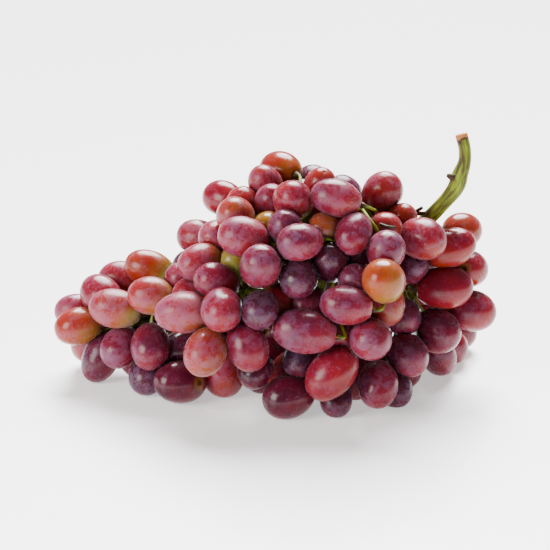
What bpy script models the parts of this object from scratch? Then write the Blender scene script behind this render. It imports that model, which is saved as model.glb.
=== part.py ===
# A bunch of oval table grapes, picked, lying on its side on a flat surface.
# The bunch's length runs along X, +Y points away from the side that shows best, and +Z is up.
import math
from collections import namedtuple

import bmesh
import bpy
import numpy as np
from mathutils import Matrix, Vector

mm = 0.001

# The side that shows best is laid out as it is seen from in front and a little above.
view_tilt = math.radians(20.0)
view_distance = 1100 * mm
view_aim_up = 50 * mm  # the point aimed at, above the surface, on that view's upright

# Grapes
grape_ratio = 1.27  # length over width of a typical grape
far_lean = 4 * mm  # a grape this much behind the main axis turns its blossom end away
layer_step = 9 * mm  # how much deeper each layer of grapes lies
press = 1.9 * mm  # how far two grapes may press into each other
touch = 1.6 * mm  # and how far a grape's nearest neighbours do
neighbours = 4
side_give = (0.03, 0.05)  # how freely a grape that shows moves sideways: outermost, and more per layer
homing = 0.04  # and how strongly it is held to its place as seen, each round
rounds = 90
push_share = 0.5  # of a press that is too deep, taken back each round
pull_share = (0.4, 0.12)  # of a gap, closed each round: to the nearest neighbour, and to the others
pull_reach = 4 * mm
cluster_step = 0.2 * mm
fused_depth = 0.1 * mm  # how deep inside both faceted forms a meeting place lies, for them to hold together
longest_move = 1.5 * mm
pair_reach = 34 * mm  # grapes with centres further apart than this can't meet
axis_apart = 13.5 * mm  # from a grape's centre to the main axis of the stem
axis_push = 0.4  # of what is missing to that, taken each round
inwards = 0.3  # how strongly fillers outside the outline are drawn in, and the most they count as outside
sink = 0.8  # of a grape's way down to the surface, taken along the line of sight
floor_press = 0.8 * mm  # how far a resting grape is flattened
grape_sides = 8
grape_rings = (40, 76, 104, 140)  # degrees from the blossom end
filler_rings = (46, 90, 134)
facet_swell = 1.04  # corners stand out by this, so that the flats are at the true size
filler_grid = 5 * mm
shown_apart = 17 * mm  # a filler's centre stays this far from a grape that shows
filler_apart = 2.8 * mm  # and this much further from another filler
stalk_heart = 0.4  # grapes further in have no stalk of their own
filler_off_axis = 11 * mm
filler_tilt = 0.35  # spread of the blossom ends about straight outwards
filler_rests = 14 * mm  # fillers with centres lower than this rest on the surface
filler_ends = (-84 * mm, 86 * mm)  # and how far along X they lie
filler_heart = 0.2  # how far out the fillers start, by the measure of fullness
filler_width = (18.5 * mm, 21.5 * mm)
seed = 11

crowding = 4.5 * mm  # each grape in a spray makes the next one's way to it count this much longer

# Gaps between separate pieces
node_gap = 0.3 * mm
cut_step = 0.8 * mm  # along a stalk, between the places where its room is looked at

# Stem
lateral_radius = (1.7 * mm, 1.2 * mm)
lateral_share = 0.8  # of the way from the main axis to the middle of a spray's stem ends
pedicel_radius = 0.95 * mm
stalk_spacing = 3.2 * mm  # between the roots of neighbouring stalks
cap_radius = 1.6 * mm
stalk_stretch = 11 * mm  # one point of a stalk to about this length
stalk_bend = 7 * mm
stalk_clear = 0.7 * mm
bend_rounds = 40
bend_push = 0.6  # of what a stalk lacks in room, given each round
bend_smooth = 0.12
stalk_shortest = 5 * mm
knee_length = 2.5 * mm  # how far a stalk runs straight before it bends
pedicel_deepest = 2.2 * mm  # a stalk that would cut deeper than this into a grape is left out

# Sets the origin under the middle of the bunch
centring = (0.84 * mm, -0.08 * mm, 0)

# Outline of the bunch at stations along X, for the centres of its outermost grapes, in mm:
# x, middle y, half depth, middle height, top height
outline = np.array((
    (-106, 2, 3, 20, 25),
    (-90, 2, 12, 22, 36),
    (-60, 0, 27, 28, 56),
    (-40, 0, 37, 33, 65),
    (-30, 0, 42, 36, 77),
    (-22, 0, 44, 38, 88),
    (0, 0, 50, 42, 103),
    (30, 0, 50, 42, 98),
    (50, 0, 44, 42, 93),
    (65, 8, 26, 42, 84),
    (80, 15, 19, 42, 78),
    (95, 17, 15, 42, 66),
    (106, 18, 6, 40, 50),
)) * mm
lowest_centre = 10 * mm

# Main axis of the stem from its cut end to the tail: across, up and towards the viewer, in mm
rachis_route = (
    (88.6, 117.1, 30), (90.3, 110, 29), (90.2, 103.8, 28), (88.1, 97.6, 26), (86.2, 91.9, 24),
    (82.4, 86.7, 22), (77.6, 81.4, 19), (72.9, 76.7, 16), (64, 69, 14), (52, 62, 16), (36, 58, 18),
    (18, 55, 18), (0, 51, 17), (-18, 47, 15), (-36, 42, 13), (-54, 36, 12), (-66, 32, 10), (-76, 29, 9),
)
route_steps = 5  # points of the smooth curve to each stretch of the route
entry_step = 8 * route_steps  # where the axis goes in among the grapes
# Thickness of the main axis: how far down the route, and radius in mm
rachis_radii = ((0, 2.9), (2, 3.1), (3.4, 3.8), (5, 3.4), (8, 3.3), (17, 1.3))
bud = ((84.8, 96.4, 27), (82.0, 97.5, 28))  # a small bud on the swelling, from root to tip
bud_radii = (2.2 * mm, 0.9 * mm)
twiglets = (  # dry stalks that lost their grapes
    ((64, 69, 14), (64.6, 75, 17), (66.5, 79.5, 19), (70.2, 82.2, 21)),
    ((66.5, 79.5, 19), (69.5, 79.3, 20), (71.6, 79.6, 22)),
)
twiglet_radii = (1.2 * mm, 0.8 * mm)

# Grapes of the side that shows best: across, up, layer, length, width as seen (mm), the turn of the
# blossom end (degrees, 0 to the right, 90 up), and 1 for a grape that rests on the surface
seen = {
    "tail": (
        (-94.8, 33.8, 1.0, 22.0, 17.0, 180, 0),
        (-94.8, 25.7, 0.0, 22.9, 18.1, 195, 0),
        (-76.2, 34.8, 0.0, 25.7, 19.0, 172, 0),
        (-73.3, 48.1, 1.5, 23.3, 18.0, 175, 0),
        (-59.5, 52.9, 2.0, 24.8, 18.0, 160, 0),
        (-58.6, 40.0, 1.0, 23.8, 18.0, 175, 0),
        (-43.3, 32.4, 0.0, 28.6, 20.0, 183, 0),
        (-60.5, 15.7, 0.0, 22.4, 19.0, 270, 0),
        (-74.8, 14.3, 1.0, 21.0, 18.1, 240, 0),
        (-83.8, 11.0, 1.0, 25.7, 18.0, 248, 1),
        (-89.0, 13.8, 2.0, 19.0, 17.5, 220, 0),
        (-61.0, 1.4, 1.0, 20.0, 18.0, 260, 1),
        (-45.7, -3.3, 0.0, 24.8, 21.0, 175, 1),
        (-46.7, 15.7, 1.5, 20.0, 18.0, 200, 0),
    ),
    "left shoulder": (
        (-25.5, 34.0, -0.5, 21.4, 20.5, 260, 0),
        (-32.9, 12.4, 0.0, 23.8, 20.0, 245, 0),
        (-12.9, 15.7, 0.0, 25.2, 20.0, 288, 0),
        (-27.1, 47.6, 1.0, 22.0, 18.0, 165, 0),
        (-19.0, 53.3, 2.0, 19.0, 17.0, 120, 0),
        (-43.3, 46.7, 2.0, 18.0, 16.0, 150, 0),
        (-38.6, 43.3, 1.5, 20.0, 17.0, 190, 0),
        (-34.3, 54.8, 1.0, 22.0, 18.0, 200, 0),
        (-36.2, 68.1, 1.5, 21.0, 17.0, 170, 0),
        (-28.1, 68.6, 1.0, 18.0, 17.0, 190, 0),
        (-15.2, 68.1, 0.0, 25.7, 20.0, 168, 0),
        (-19.0, 77.6, 1.0, 19.5, 18.5, 120, 0),
        (-13.8, 82.4, 1.7, 20.0, 18.0, 110, 0),
        (-24.8, 87.1, 2.0, 20.0, 17.0, 165, 0),
    ),
    "middle": (
        (2.9, 100.0, 2.0, 21.0, 19.0, 160, 0),
        (-4.8, 93.8, 2.5, 18.0, 16.0, 120, 0),
        (-1.9, 84.8, 1.5, 18.0, 17.0, 100, 0),
        (8.1, 86.2, 0.5, 19.5, 19.0, 80, 0),
        (-3.3, 70.0, 1.7, 18.0, 17.5, 90, 0),
        (12.4, 66.7, 0.0, 22.0, 18.0, 188, 0),
        (6.2, 72.4, 1.3, 18.0, 17.0, 90, 0),
        (11.9, 48.6, 1.3, 20.5, 19.0, 270, 0),
        (-7.9, 53.3, 0.0, 21.4, 20.0, 80, 0),
        (-6.7, 32.9, 1.3, 19.0, 18.0, 250, 0),
        (1.4, 36.7, 2.0, 18.0, 16.0, 260, 0),
        (21.0, 92.4, 2.0, 18.0, 16.0, 70, 0),
        (29.5, 86.7, 0.5, 24.8, 18.0, 165, 0),
        (27.6, 81.9, 1.5, 21.0, 17.0, 200, 0),
        (24.3, 71.4, 1.5, 18.0, 17.0, 180, 0),
    ),
    "right shoulder": (
        (36.2, 69.0, 0.7, 21.0, 17.6, 245, 0),
        (51.0, 89.3, 1.0, 21.0, 19.0, 55, 0),
        (51.9, 71.4, 1.3, 18.0, 17.5, 60, 0),
        (60.5, 75.2, 1.7, 17.0, 15.0, 40, 0),
        (53.3, 61.0, 0.7, 20.0, 19.0, 80, 0),
        (51.9, 47.4, -0.3, 21.4, 20.8, 120, 0),
        (30.0, 55.7, 1.3, 20.0, 19.0, 90, 0),
        (38.6, 57.1, 1.7, 18.0, 16.0, 90, 0),
        (37.1, 47.1, 1.0, 18.0, 17.0, 100, 0),
        (33.8, 36.7, 0.3, 25.7, 19.0, 172, 0),
        (16.2, 34.8, 1.0, 19.0, 16.5, 190, 0),
        (14.3, 22.4, 0.0, 31.4, 21.4, 172, 0),
        (46.2, 19.5, 0.0, 21.0, 20.5, 270, 0),
        (60.0, 33.3, 0.7, 18.5, 17.5, 240, 0),
        (64.8, 52.4, 1.5, 18.0, 16.0, 30, 0),
    ),
    "stem end": (
        (69.5, 67.6, 0.3, 22.9, 20.0, 342, 0),
        (88.1, 72.9, 1.0, 20.0, 17.5, 10, 0),
        (83.3, 62.4, 0.8, 25.7, 19.0, 22, 0),
        (92.4, 52.4, 1.5, 18.5, 18.0, 0, 0),
        (81.0, 45.0, 0.0, 28.0, 21.0, 4, 0),
        (92.9, 31.9, 1.0, 24.8, 20.0, 348, 0),
        (77.6, 23.3, 0.2, 22.9, 21.4, 315, 0),
        (89.0, 21.4, 1.8, 19.0, 17.0, 330, 1),
        (77.6, 10.5, 1.0, 19.0, 17.0, 300, 1),
        (84.3, 14.3, 1.8, 17.0, 16.0, 320, 0),
        (63.3, 14.8, 0.0, 22.0, 20.0, 305, 0),
    ),
    "underside": (
        (11.4, 9.0, 1.3, 18.0, 16.0, 260, 0),
        (6.2, -8.1, 0.0, 25.7, 21.0, 200, 1),
        (26.7, 2.4, -0.3, 29.5, 22.0, 228, 0),
        (29.0, -9.0, 1.0, 19.0, 16.0, 270, 1),
        (48.1, -1.9, 0.0, 22.9, 19.5, 265, 0),
        (53.8, -4.8, 1.0, 20.0, 17.0, 285, 1),
        (-11.4, 6.7, 1.2, 19.0, 17.0, 260, 0),
        (-5.7, 1.0, 1.0, 18.0, 16.0, 250, 1),
    ),
}

# Sprays of grapes and where each one's heart lies: x, y, z in mm
spray_hearts = {
    "tail_end": (-88, 0, 25),
    "tail_front": (-60, -22, 22),
    "tail_back": (-55, 22, 22),
    "left_front": (-28, -38, 32),
    "left_top": (-25, -6, 76),
    "left_back": (-25, 34, 42),
    "middle_low": (12, -48, 20),
    "middle_front": (0, -32, 58),
    "middle_top": (12, -4, 96),
    "right_front": (42, -28, 54),
    "right_top": (42, 2, 90),
    "right_back": (48, 36, 45),
    "end_front": (78, -4, 38),
    "end_top": (80, 12, 74),
    "end_back": (80, 32, 26),
}

Grape = namedtuple("Grape", "centre half_length half_width axis layer rests shown")

# Directions of the view: right, up in the picture, and towards the viewer
view_right = np.array((1.0, 0.0, 0.0))
view_up = np.array((0.0, math.sin(view_tilt), math.cos(view_tilt)))
view_near = np.array((0.0, -math.cos(view_tilt), math.sin(view_tilt)))


def clear_scene():
    for thing in list(bpy.data.objects):
        bpy.data.objects.remove(thing, do_unlink=True)


def from_view(across, up, near):
    """A place in the picture plane and its depth give the point in space: nearer things look larger."""
    shrink = 1 - near / view_distance
    level = view_aim_up + (up - view_aim_up) * shrink
    return across * shrink * view_right + level * view_up + near * view_near


def fullness(points):
    """How far out a grape's centre is in the bunch: below 1 inside the outline, above 1 outside it."""
    stations = [np.interp(points[..., 0], outline[:, 0], outline[:, column]) for column in range(1, 5)]
    middle_y, half_depth, middle_z, top_z = stations
    y = (points[..., 1] - middle_y) / half_depth
    high = points[..., 2] > middle_z
    half_height = np.where(high, top_z - middle_z, middle_z - lowest_centre)
    z = (points[..., 2] - middle_z) / half_height
    power = np.where(high, 2.0, 3.0)
    beyond = np.maximum(0, np.maximum(points[..., 0] - outline[-1, 0], outline[0, 0] - points[..., 0]))
    return np.abs(y) ** power + np.abs(z) ** power + beyond / (5 * mm)


def surface_depth(across, up):
    """The depth at which a line of sight first meets the bunch's outline."""
    depths = np.arange(85, -85, -0.5) * mm
    values = fullness(np.array([from_view(across, up, near) for near in depths]))
    inside = np.nonzero(values <= 1)[0]
    return depths[inside[0]] if len(inside) else depths[int(np.argmin(values))]


def shape_matrix(grape):
    """The matrix B of a grape, an ellipsoid of the points x from its centre with x B^-1 x = 1."""
    stretch = grape.half_length ** 2 - grape.half_width ** 2
    return grape.half_width ** 2 * np.eye(3) + stretch * np.outer(grape.axis, grape.axis)


def seen_grapes():
    """Grapes of the side that shows. One that looks too short for its width leans towards or away."""
    grapes = []
    for rows in seen.values():
        for across, up, layer, length, width, turn, rests in rows:
            across, up, length, width = across * mm, up * mm, length * mm, width * mm
            near = surface_depth(across, up) - layer * layer_step
            ratio = length / width
            lean = 0.0
            centre = from_view(across, up, near)
            if ratio < grape_ratio:
                lean = math.acos(math.sqrt(max(ratio ** 2 - 1, 0) / (grape_ratio ** 2 - 1)))
                lean = math.copysign(lean, np.dot(centre - axis_point(centre), view_near) + far_lean)
                length = width * grape_ratio
            shrink = 1 - near / view_distance
            angle = math.radians(turn)
            flat = math.cos(angle) * view_right + math.sin(angle) * view_up
            axis = math.cos(lean) * flat + math.sin(lean) * view_near
            grape = Grape(centre, length * shrink / 2, width * shrink / 2, axis, layer, bool(rests), True)
            if rests:
                height = math.sqrt(shape_matrix(grape)[2, 2]) - floor_press
                grape = grape._replace(centre=centre + (height - centre[2]) / view_near[2] * view_near)
            grapes.append(grape)
    return grapes


def axis_point(centre):
    """The point of the main axis nearest to a place."""
    steps = rachis_points()
    return steps[int(np.argmin(np.sum((steps - centre) ** 2, axis=1)))]


def rachis_points():
    """The main axis as close-set points on a smooth curve through its route."""
    route = np.array([from_view(a * mm, u * mm, n * mm) for a, u, n in rachis_route])
    return smooth_line(route, route_steps)


def smooth_line(route, steps):
    """Catmull-Rom curve: each stretch is a cubic whose ends aim along the neighbours."""
    ends = np.vstack((2 * route[0] - route[1], route, 2 * route[-1] - route[-2]))
    t = (np.arange(steps) / steps)[:, None]
    parts = []
    for a, b, c, d in zip(ends, ends[1:], ends[2:], ends[3:]):
        cubic = 2 * b + (c - a) * t + (2 * a - 5 * b + 4 * c - d) * t ** 2 + (3 * b - a - 3 * c + d) * t ** 3
        parts.append(0.5 * cubic)
    return np.vstack(parts + [route[-1:]])


def filler_grapes(grapes):
    """Grapes on the far side and inside the bunch, from the outside in, blossom ends outwards."""
    draw = np.random.default_rng(seed)
    long, deep, high = (np.arange(-count, count + 1) for count in (26, 20, 20))
    i, j, k = (part.ravel() for part in np.meshgrid(long, deep, high, indexing="ij"))
    places = np.stack((i, j, k), axis=1) * filler_grid + np.array((0, 0, 50 * mm))
    places = places + draw.uniform(-0.5, 0.5, places.shape) * filler_grid
    full = fullness(places)
    inside = (full > filler_heart) & (full < 1) & (places[:, 2] > lowest_centre)
    inside &= (places[:, 0] > filler_ends[0]) & (places[:, 0] < filler_ends[1])
    places, full = places[inside], full[inside]
    places = places[np.argsort(-full, kind="stable")]
    centres = [grape.centre for grape in grapes]
    shown = len(centres)
    axis_line = rachis_points()
    added = []
    for place in places:
        far = np.linalg.norm(np.array(centres) - place, axis=1)
        if min(far[:shown].min(), far[shown:].min(initial=1) - filler_apart) < shown_apart:
            continue
        if np.min(np.linalg.norm(axis_line - place, axis=1)) < filler_off_axis:
            continue
        half_width = draw.uniform(*filler_width) / 2
        outward = place - axis_point(place)
        outward = outward / np.linalg.norm(outward) + draw.normal(0, filler_tilt, 3)
        axis = outward / np.linalg.norm(outward)
        rests = bool(place[2] < filler_rests)
        added.append(Grape(place, half_width * grape_ratio, half_width, axis, 0, rests, False))
        centres.append(place)
    return added


def contacts(shapes, centres, first, second):
    """Gap, direction and meeting point of pairs of ellipsoids, grown or shrunk alike until they touch."""
    reach = centres[second] - centres[first]
    shares = np.linspace(0.05, 0.95, 19)
    blend = ((1 - shares)[None, :, None, None] * shapes[first][:, None]
             + shares[None, :, None, None] * shapes[second][:, None])
    solved = np.linalg.solve(blend, np.broadcast_to(reach[:, None, :, None], blend.shape[:2] + (3, 1)))[..., 0]
    values = shares * (1 - shares) * np.einsum("ni,nsi->ns", reach, solved)
    best = np.argmax(values, axis=1)
    row = np.arange(len(first))
    size, share, normal = values[row, best], shares[best][:, None], solved[row, best]
    point = centres[first] + (1 - share) * np.einsum("nij,nj->ni", shapes[first], normal)
    normal = normal / np.linalg.norm(normal, axis=1, keepdims=True)
    gap = np.einsum("ni,ni->n", reach, normal) * (1 - 1 / np.sqrt(size))
    return gap, normal, point


def near_pairs(centres, reach):
    first, second = np.triu_indices(len(centres), 1)
    close = np.linalg.norm(centres[first] - centres[second], axis=1) < reach
    return first[close], second[close]


def press_moves(centres, shapes, ease):
    """How far each grape moves, so that no pair presses too hard and near neighbours meet."""
    first, second = near_pairs(centres, pair_reach)
    gap, normal, _ = contacts(shapes, centres, first, second)
    gaps = np.full((len(centres), len(centres)), 1.0)
    gaps[first, second] = gaps[second, first] = gap
    last = np.sort(gaps, axis=1)[:, neighbours - 1]
    closest = np.min(gaps, axis=1)
    wanted = (gap <= np.maximum(last[first], last[second])) & (gap > -touch) & (gap < pull_reach)
    nearest = (gap <= closest[first]) | (gap <= closest[second])
    pull = np.where(wanted, gap + touch, 0) * np.where(nearest, *pull_share)
    change = np.maximum(-press - gap, 0) * push_share - pull
    ways_a = np.einsum("nij,nj->ni", ease[first], change[:, None] * normal)
    ways_b = np.einsum("nij,nj->ni", ease[second], change[:, None] * normal)
    gained = np.abs(np.einsum("ni,ni->n", ways_a + ways_b, normal))
    asked = np.maximum(np.abs(change), 1e-9)
    gain = np.minimum(asked / np.maximum(gained, asked / 4), 4)[:, None]
    moves = np.zeros_like(centres)
    np.add.at(moves, first, -ways_a * gain)
    np.add.at(moves, second, ways_b * gain)
    length = np.linalg.norm(moves, axis=1, keepdims=True)
    return moves * np.minimum(1, longest_move / np.maximum(length, 1e-9))


def axis_moves(centres, axis_line):
    """How far each grape moves away from the main axis of the stem."""
    away = centres[:, None] - axis_line
    distance = np.linalg.norm(away, axis=2)
    row, nearest = np.arange(len(centres)), np.argmin(distance, axis=1)
    distance = distance[row, nearest][:, None]
    return away[row, nearest] / distance * np.maximum(axis_apart - distance, 0) * axis_push


def settle(grapes):
    """Grapes that press too hard move apart, and loose ones move in. Those that show move mostly in depth."""
    centres = np.array([grape.centre for grape in grapes])
    shapes = np.array([shape_matrix(grape) for grape in grapes])
    heights = np.sqrt(shapes[:, 2, 2]) - floor_press
    rests = np.array([grape.rests for grape in grapes])
    shown = np.array([grape.shown for grape in grapes])
    layer = np.array([max(grape.layer, 0) for grape in grapes])
    in_depth = np.outer(view_near, view_near)
    sideways = np.eye(3) - in_depth
    give = (side_give[0] + side_give[1] * layer)[:, None, None]
    ease = np.where(shown[:, None, None], in_depth + give * sideways, np.eye(3))
    homes = centres.copy()
    axis_line = rachis_points()
    down_sight = sink * view_near / view_near[2] + np.array((0, 0, 1 - sink))
    for _ in range(rounds):
        centres = centres + press_moves(centres, shapes, ease)
        over = np.clip(fullness(centres[~shown]) - 1, 0, inwards)[:, None]
        heart = np.array([axis_point(place) for place in centres[~shown]])
        centres[~shown] += (heart - centres[~shown]) * over * inwards
        centres = centres + np.einsum("nij,nj->ni", ease, axis_moves(centres, axis_line))
        centres += np.where(shown[:, None], (homes - centres) @ sideways, 0) * homing
        low = heights - centres[:, 2]
        low = np.where(rests, low, np.maximum(low, 0))[:, None]
        centres += low * np.where(shown[:, None], down_sight, np.array((0, 0, 1.0)))
        centres[:, 2] = np.maximum(centres[:, 2], heights)
        centres = np.round(centres, 7)
    centres[:, 2] = np.where(rests, heights, centres[:, 2])
    centres = np.round(centres, 5)
    return [grape._replace(centre=centre) for centre, grape in zip(centres, grapes)]


def hull_corners(grape):
    """Tip, rings and root of a ball of flat rings, stretched along the grape's axis and set at its centre."""
    levels = np.radians(grape_rings if grape.shown else filler_rings)[:, None, None]
    angles = np.arange(grape_sides) * 2 * math.pi / grape_sides
    ring = np.stack((np.cos(angles), np.sin(angles), np.zeros(grape_sides)), axis=1)
    ball = np.sin(levels) * ring + np.cos(levels) * np.array((0, 0, 1.0))
    ball = np.vstack(((0, 0, 1.0), ball.reshape(-1, 3), (0, 0, -1.0)))
    turn = np.array(Vector(grape.axis).to_track_quat("Z", "Y").to_matrix())
    size = np.array((grape.half_width, grape.half_width, grape.half_length)) * facet_swell
    corners = (ball * size) @ turn.T + grape.centre
    return corners[0], corners[1:-1].reshape(len(levels), grape_sides, 3), corners[-1]


def grape_hull(grape):
    mesh = bmesh.new()
    tip, rings, root = hull_corners(grape)
    tip, root = mesh.verts.new(tip), mesh.verts.new(root)
    rings = [[mesh.verts.new(corner) for corner in ring] for ring in rings]
    for side in range(grape_sides):
        after = (side + 1) % grape_sides
        mesh.faces.new((tip, rings[0][side], rings[0][after]))
        mesh.faces.new((root, rings[-1][after], rings[-1][side]))
        for upper, lower in zip(rings, rings[1:]):
            mesh.faces.new((upper[side], lower[side], lower[after], upper[after]))
    mesh.normal_update()
    return mesh


def hull_planes(grape):
    """Outward normal of each flat of a grape's faceted form, and its distance along that from the origin."""
    tip, rings, root = hull_corners(grape)
    after = np.roll(rings, -1, axis=1)
    low, high, low_after = rings[1:].reshape(-1, 3), rings[:-1].reshape(-1, 3), after[1:].reshape(-1, 3)
    normals = np.vstack((np.cross(rings[0] - tip, after[0] - tip), np.cross(low - high, low_after - high),
                         np.cross(after[-1] - root, rings[-1] - root)))
    normals = normals / np.linalg.norm(normals, axis=1, keepdims=True)
    return normals, np.einsum("ni,ni->n", normals, np.vstack((rings[0], high, rings[-1])))


def fused_pairs(grapes):
    """Pairs of grapes whose faceted forms share a fair piece of their meeting place."""
    centres = np.array([grape.centre for grape in grapes])
    shapes = np.array([shape_matrix(grape) for grape in grapes])
    first, second = near_pairs(centres, pair_reach)
    gap, normal, point = contacts(shapes, centres, first, second)
    planes = [hull_planes(grape) for grape in grapes]
    pairs, meetings = [], []
    for a, b, space, way, place in zip(first, second, gap, normal, point):
        if space < pull_reach:
            meetings.append((a, b, way, place))
        depth = min(np.min(planes[a][1] - planes[a][0] @ place), np.min(planes[b][1] - planes[b][0] @ place))
        if depth > fused_depth:
            pairs.append((a, b, place))
    return pairs, meetings


def gather(grapes):
    """Clusters that touch nothing else move against their nearest neighbour, the smallest first."""
    while True:
        pairs, _ = fused_pairs(grapes)
        group = np.arange(len(grapes))
        for a, b, _ in pairs:
            group[group == group[b]] = group[a]
        names, sizes = np.unique(group, return_counts=True)
        if len(names) == 1:
            return grapes
        moving = group == names[int(np.argmin(sizes))]
        centres = np.array([grape.centre for grape in grapes])
        shapes = np.array([shape_matrix(grape) for grape in grapes])
        first, second = near_pairs(centres, 2 * pair_reach)
        between = moving[first] != moving[second]
        first, second = first[between], second[between]
        gap, normal, _ = contacts(shapes, centres, first, second)
        best = int(np.argmin(gap))
        way = normal[best] if moving[first[best]] else -normal[best]
        shift = way * max(gap[best] + touch + cluster_step, cluster_step)
        grapes = [grape._replace(centre=np.round(grape.centre + shift, 5)) if move else grape
                  for grape, move in zip(grapes, moving)]


def share_out(grapes, pairs):
    """Each spray grows from the grape nearest its heart, over grapes that touch, near and small ones first."""
    centres = np.array([grape.centre for grape in grapes])
    touching = {index: set() for index in range(len(grapes))}
    for a, b, _ in pairs:
        touching[a].add(int(b))
        touching[b].add(int(a))
    hearts = {name: np.array(place) * mm for name, place in spray_hearts.items()}
    owner, members = {}, {}
    for name, heart in hearts.items():
        order = np.argsort(np.linalg.norm(centres - heart, axis=1))
        first = next(int(index) for index in order if int(index) not in owner)
        owner[first] = name
        members[name] = [first]
    while len(owner) < len(grapes):
        costs = []
        for name, heart in hearts.items():
            for index in {b for a in members[name] for b in touching[a] if b not in owner}:
                cost = np.linalg.norm(centres[index] - heart) + crowding * len(members[name])
                costs.append((cost, name, index))
        _, name, index = min(costs)
        owner[index] = name
        members[name].append(index)
    return members, owner


def stem_end(grape, extra=0.0):
    """The place of the stem end of a grape, and a little beyond it."""
    return grape.centre - grape.axis * (grape.half_length * facet_swell + extra)


def space_to(points, radius, centres, inverses):
    """Rough gap between balls and ellipsoids, and the way out of each ellipsoid, in first order."""
    away = points[:, None] - centres
    scaled = np.einsum("gij,pgj->pgi", inverses, away)
    root = np.sqrt(np.maximum(np.einsum("pgi,pgi->pg", away, scaled), 1e-12))
    slope = scaled / root[..., None]
    steep = np.linalg.norm(slope, axis=2)
    return (root - 1) / steep - radius, slope / steep[..., None]


def clear_route(start, aim, goal, radius, centres, inverses):
    """A stalk from start, first along aim, to goal, pushed out of the grapes and smoothed."""
    length = np.linalg.norm(goal - start)
    count = max(2, min(5, round(length / stalk_stretch) + 2))
    knee = start + aim * knee_length
    t = np.linspace(0, 1, count)[:, None]
    handle = knee + aim * min(stalk_bend, length / 2)
    line = (1 - t) ** 2 * knee + 2 * t * (1 - t) * handle + t ** 2 * goal
    for _ in range(bend_rounds if count > 2 else 0):
        inner = line[1:-1]
        gap, way = space_to(inner, radius + stalk_clear, centres, inverses)
        nearest = np.argmin(gap, axis=1)
        row = np.arange(len(inner))
        push = np.maximum(-gap[row, nearest], 0)[:, None] * way[row, nearest]
        middle = (line[:-2] + line[2:]) / 2
        line[1:-1] = inner + push * bend_push + (middle - inner) * bend_smooth
        line[:, 2] = np.maximum(line[:, 2], radius + 1 * mm)
    return np.vstack((start, np.round(line, 5)))


def fine_points(line, step=1.2 * mm):
    """The line again, with a point at least every step."""
    parts = [line[:1]]
    for a, b in zip(line, line[1:]):
        count = max(1, int(math.ceil(np.linalg.norm(b - a) / step)))
        parts.append(a + (b - a) * (np.arange(1, count + 1) / count)[:, None])
    return np.vstack(parts)


def stem_routes(grapes, members, pairs):
    """The rachis, a lateral to each spray, and a pedicel to each grape that a stalk reaches and keeps whole."""
    centres = np.array([grape.centre for grape in grapes])
    inverses = np.linalg.inv(np.array([shape_matrix(grape) for grape in grapes]))
    main = rachis_points()
    down, radii = zip(*rachis_radii)
    widths = np.interp(np.arange(len(main)) / route_steps, down, radii) * mm
    picked = np.append(np.arange(0, len(main) - 1, 4), len(main) - 1)
    routes = [("rachis", main[picked], widths[picked], None)]
    for line, radii in [(bud, bud_radii)] + [(line, twiglet_radii) for line in twiglets]:
        line = np.array([from_view(a * mm, u * mm, n * mm) for a, u, n in line])
        routes.append(("twig", line, np.linspace(*radii, len(line)), None))
    among = main[entry_step:]
    roots = []
    for name, spray in members.items():
        ends = np.array([stem_end(grapes[index], 4 * mm) for index in spray])
        middle = ends.mean(axis=0)
        nearest = int(np.argmin(np.linalg.norm(among - middle, axis=1)))
        root = among[max(nearest - 4, 0)]
        hub = root + (middle - root) * lateral_share
        for _ in range(bend_rounds):
            gap, way = space_to(hub[None], lateral_radius[1] + stalk_clear, centres, inverses)
            nearest_grape = int(np.argmin(gap[0]))
            hub = hub + max(-gap[0, nearest_grape], 0) * way[0, nearest_grape] * bend_push
        aim = (hub - root) / np.linalg.norm(hub - root)
        line = clear_route(root, aim, hub, lateral_radius[0], centres, inverses)
        routes.append(("lateral", line, np.linspace(*lateral_radius, len(line)), None))
        carriers = np.vstack((fine_points(line)[2:], main[entry_step + 2:-2]))
        for index in spray:
            if fullness(centres[index]) < stalk_heart and not grapes[index].shown:
                continue
            start = stem_end(grapes[index], node_gap)
            far = np.linalg.norm(carriers - start, axis=1)
            taken = [np.linalg.norm(carriers - root, axis=1) < stalk_spacing for root in roots]
            far = far + 2.5 * stalk_spacing * np.any(taken, axis=0) if taken else far
            goal = carriers[int(np.argmin(np.where(far > stalk_shortest, far, 1)))]
            stalk = clear_route(start, -grapes[index].axis, goal, pedicel_radius, centres, inverses)
            gap = space_to(fine_points(stalk)[2:], pedicel_radius, centres, inverses)[0]
            route = ("pedicel", stalk, np.full(len(stalk), pedicel_radius), index)
            kept = uncut_pairs(pairs, stem_cuts(grapes, [route]))
            if gap.min() > -pedicel_deepest and len(kept) == len(pairs):
                roots.append(goal)
                routes.append(route)
    return routes


def stem_cuts(grapes, routes):
    """Flats that keep the grapes off the stem: one plane for each place where a stalk comes close."""
    centres = np.array([grape.centre for grape in grapes])
    shapes = np.array([shape_matrix(grape) for grape in grapes])
    inverses = np.linalg.inv(shapes) / facet_swell ** 2
    cuts = {index: [] for index in range(len(grapes))}
    own_stretch = round(2 * knee_length / cut_step)
    for _, line, widths, own in routes:
        points = fine_points(line, cut_step)
        radius = float(np.max(widths))
        gap, way = space_to(points, radius, centres, inverses)
        for index in range(len(grapes)):
            start = own_stretch if index == own else 0
            spots = [spot for spot in range(start, len(points)) if gap[spot, index] < 2 * node_gap]
            spots.sort(key=lambda spot: gap[spot, index])
            placed = []
            for spot in spots:
                point = points[spot]
                room = radius + node_gap - 1e-6
                if any(np.dot(normal, point - place) >= room for place, normal in placed):
                    continue
                normal = way[spot, index]
                place = point - normal * (radius + node_gap)
                placed.append((place, normal))
            cuts[index] += placed
    return cuts


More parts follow.
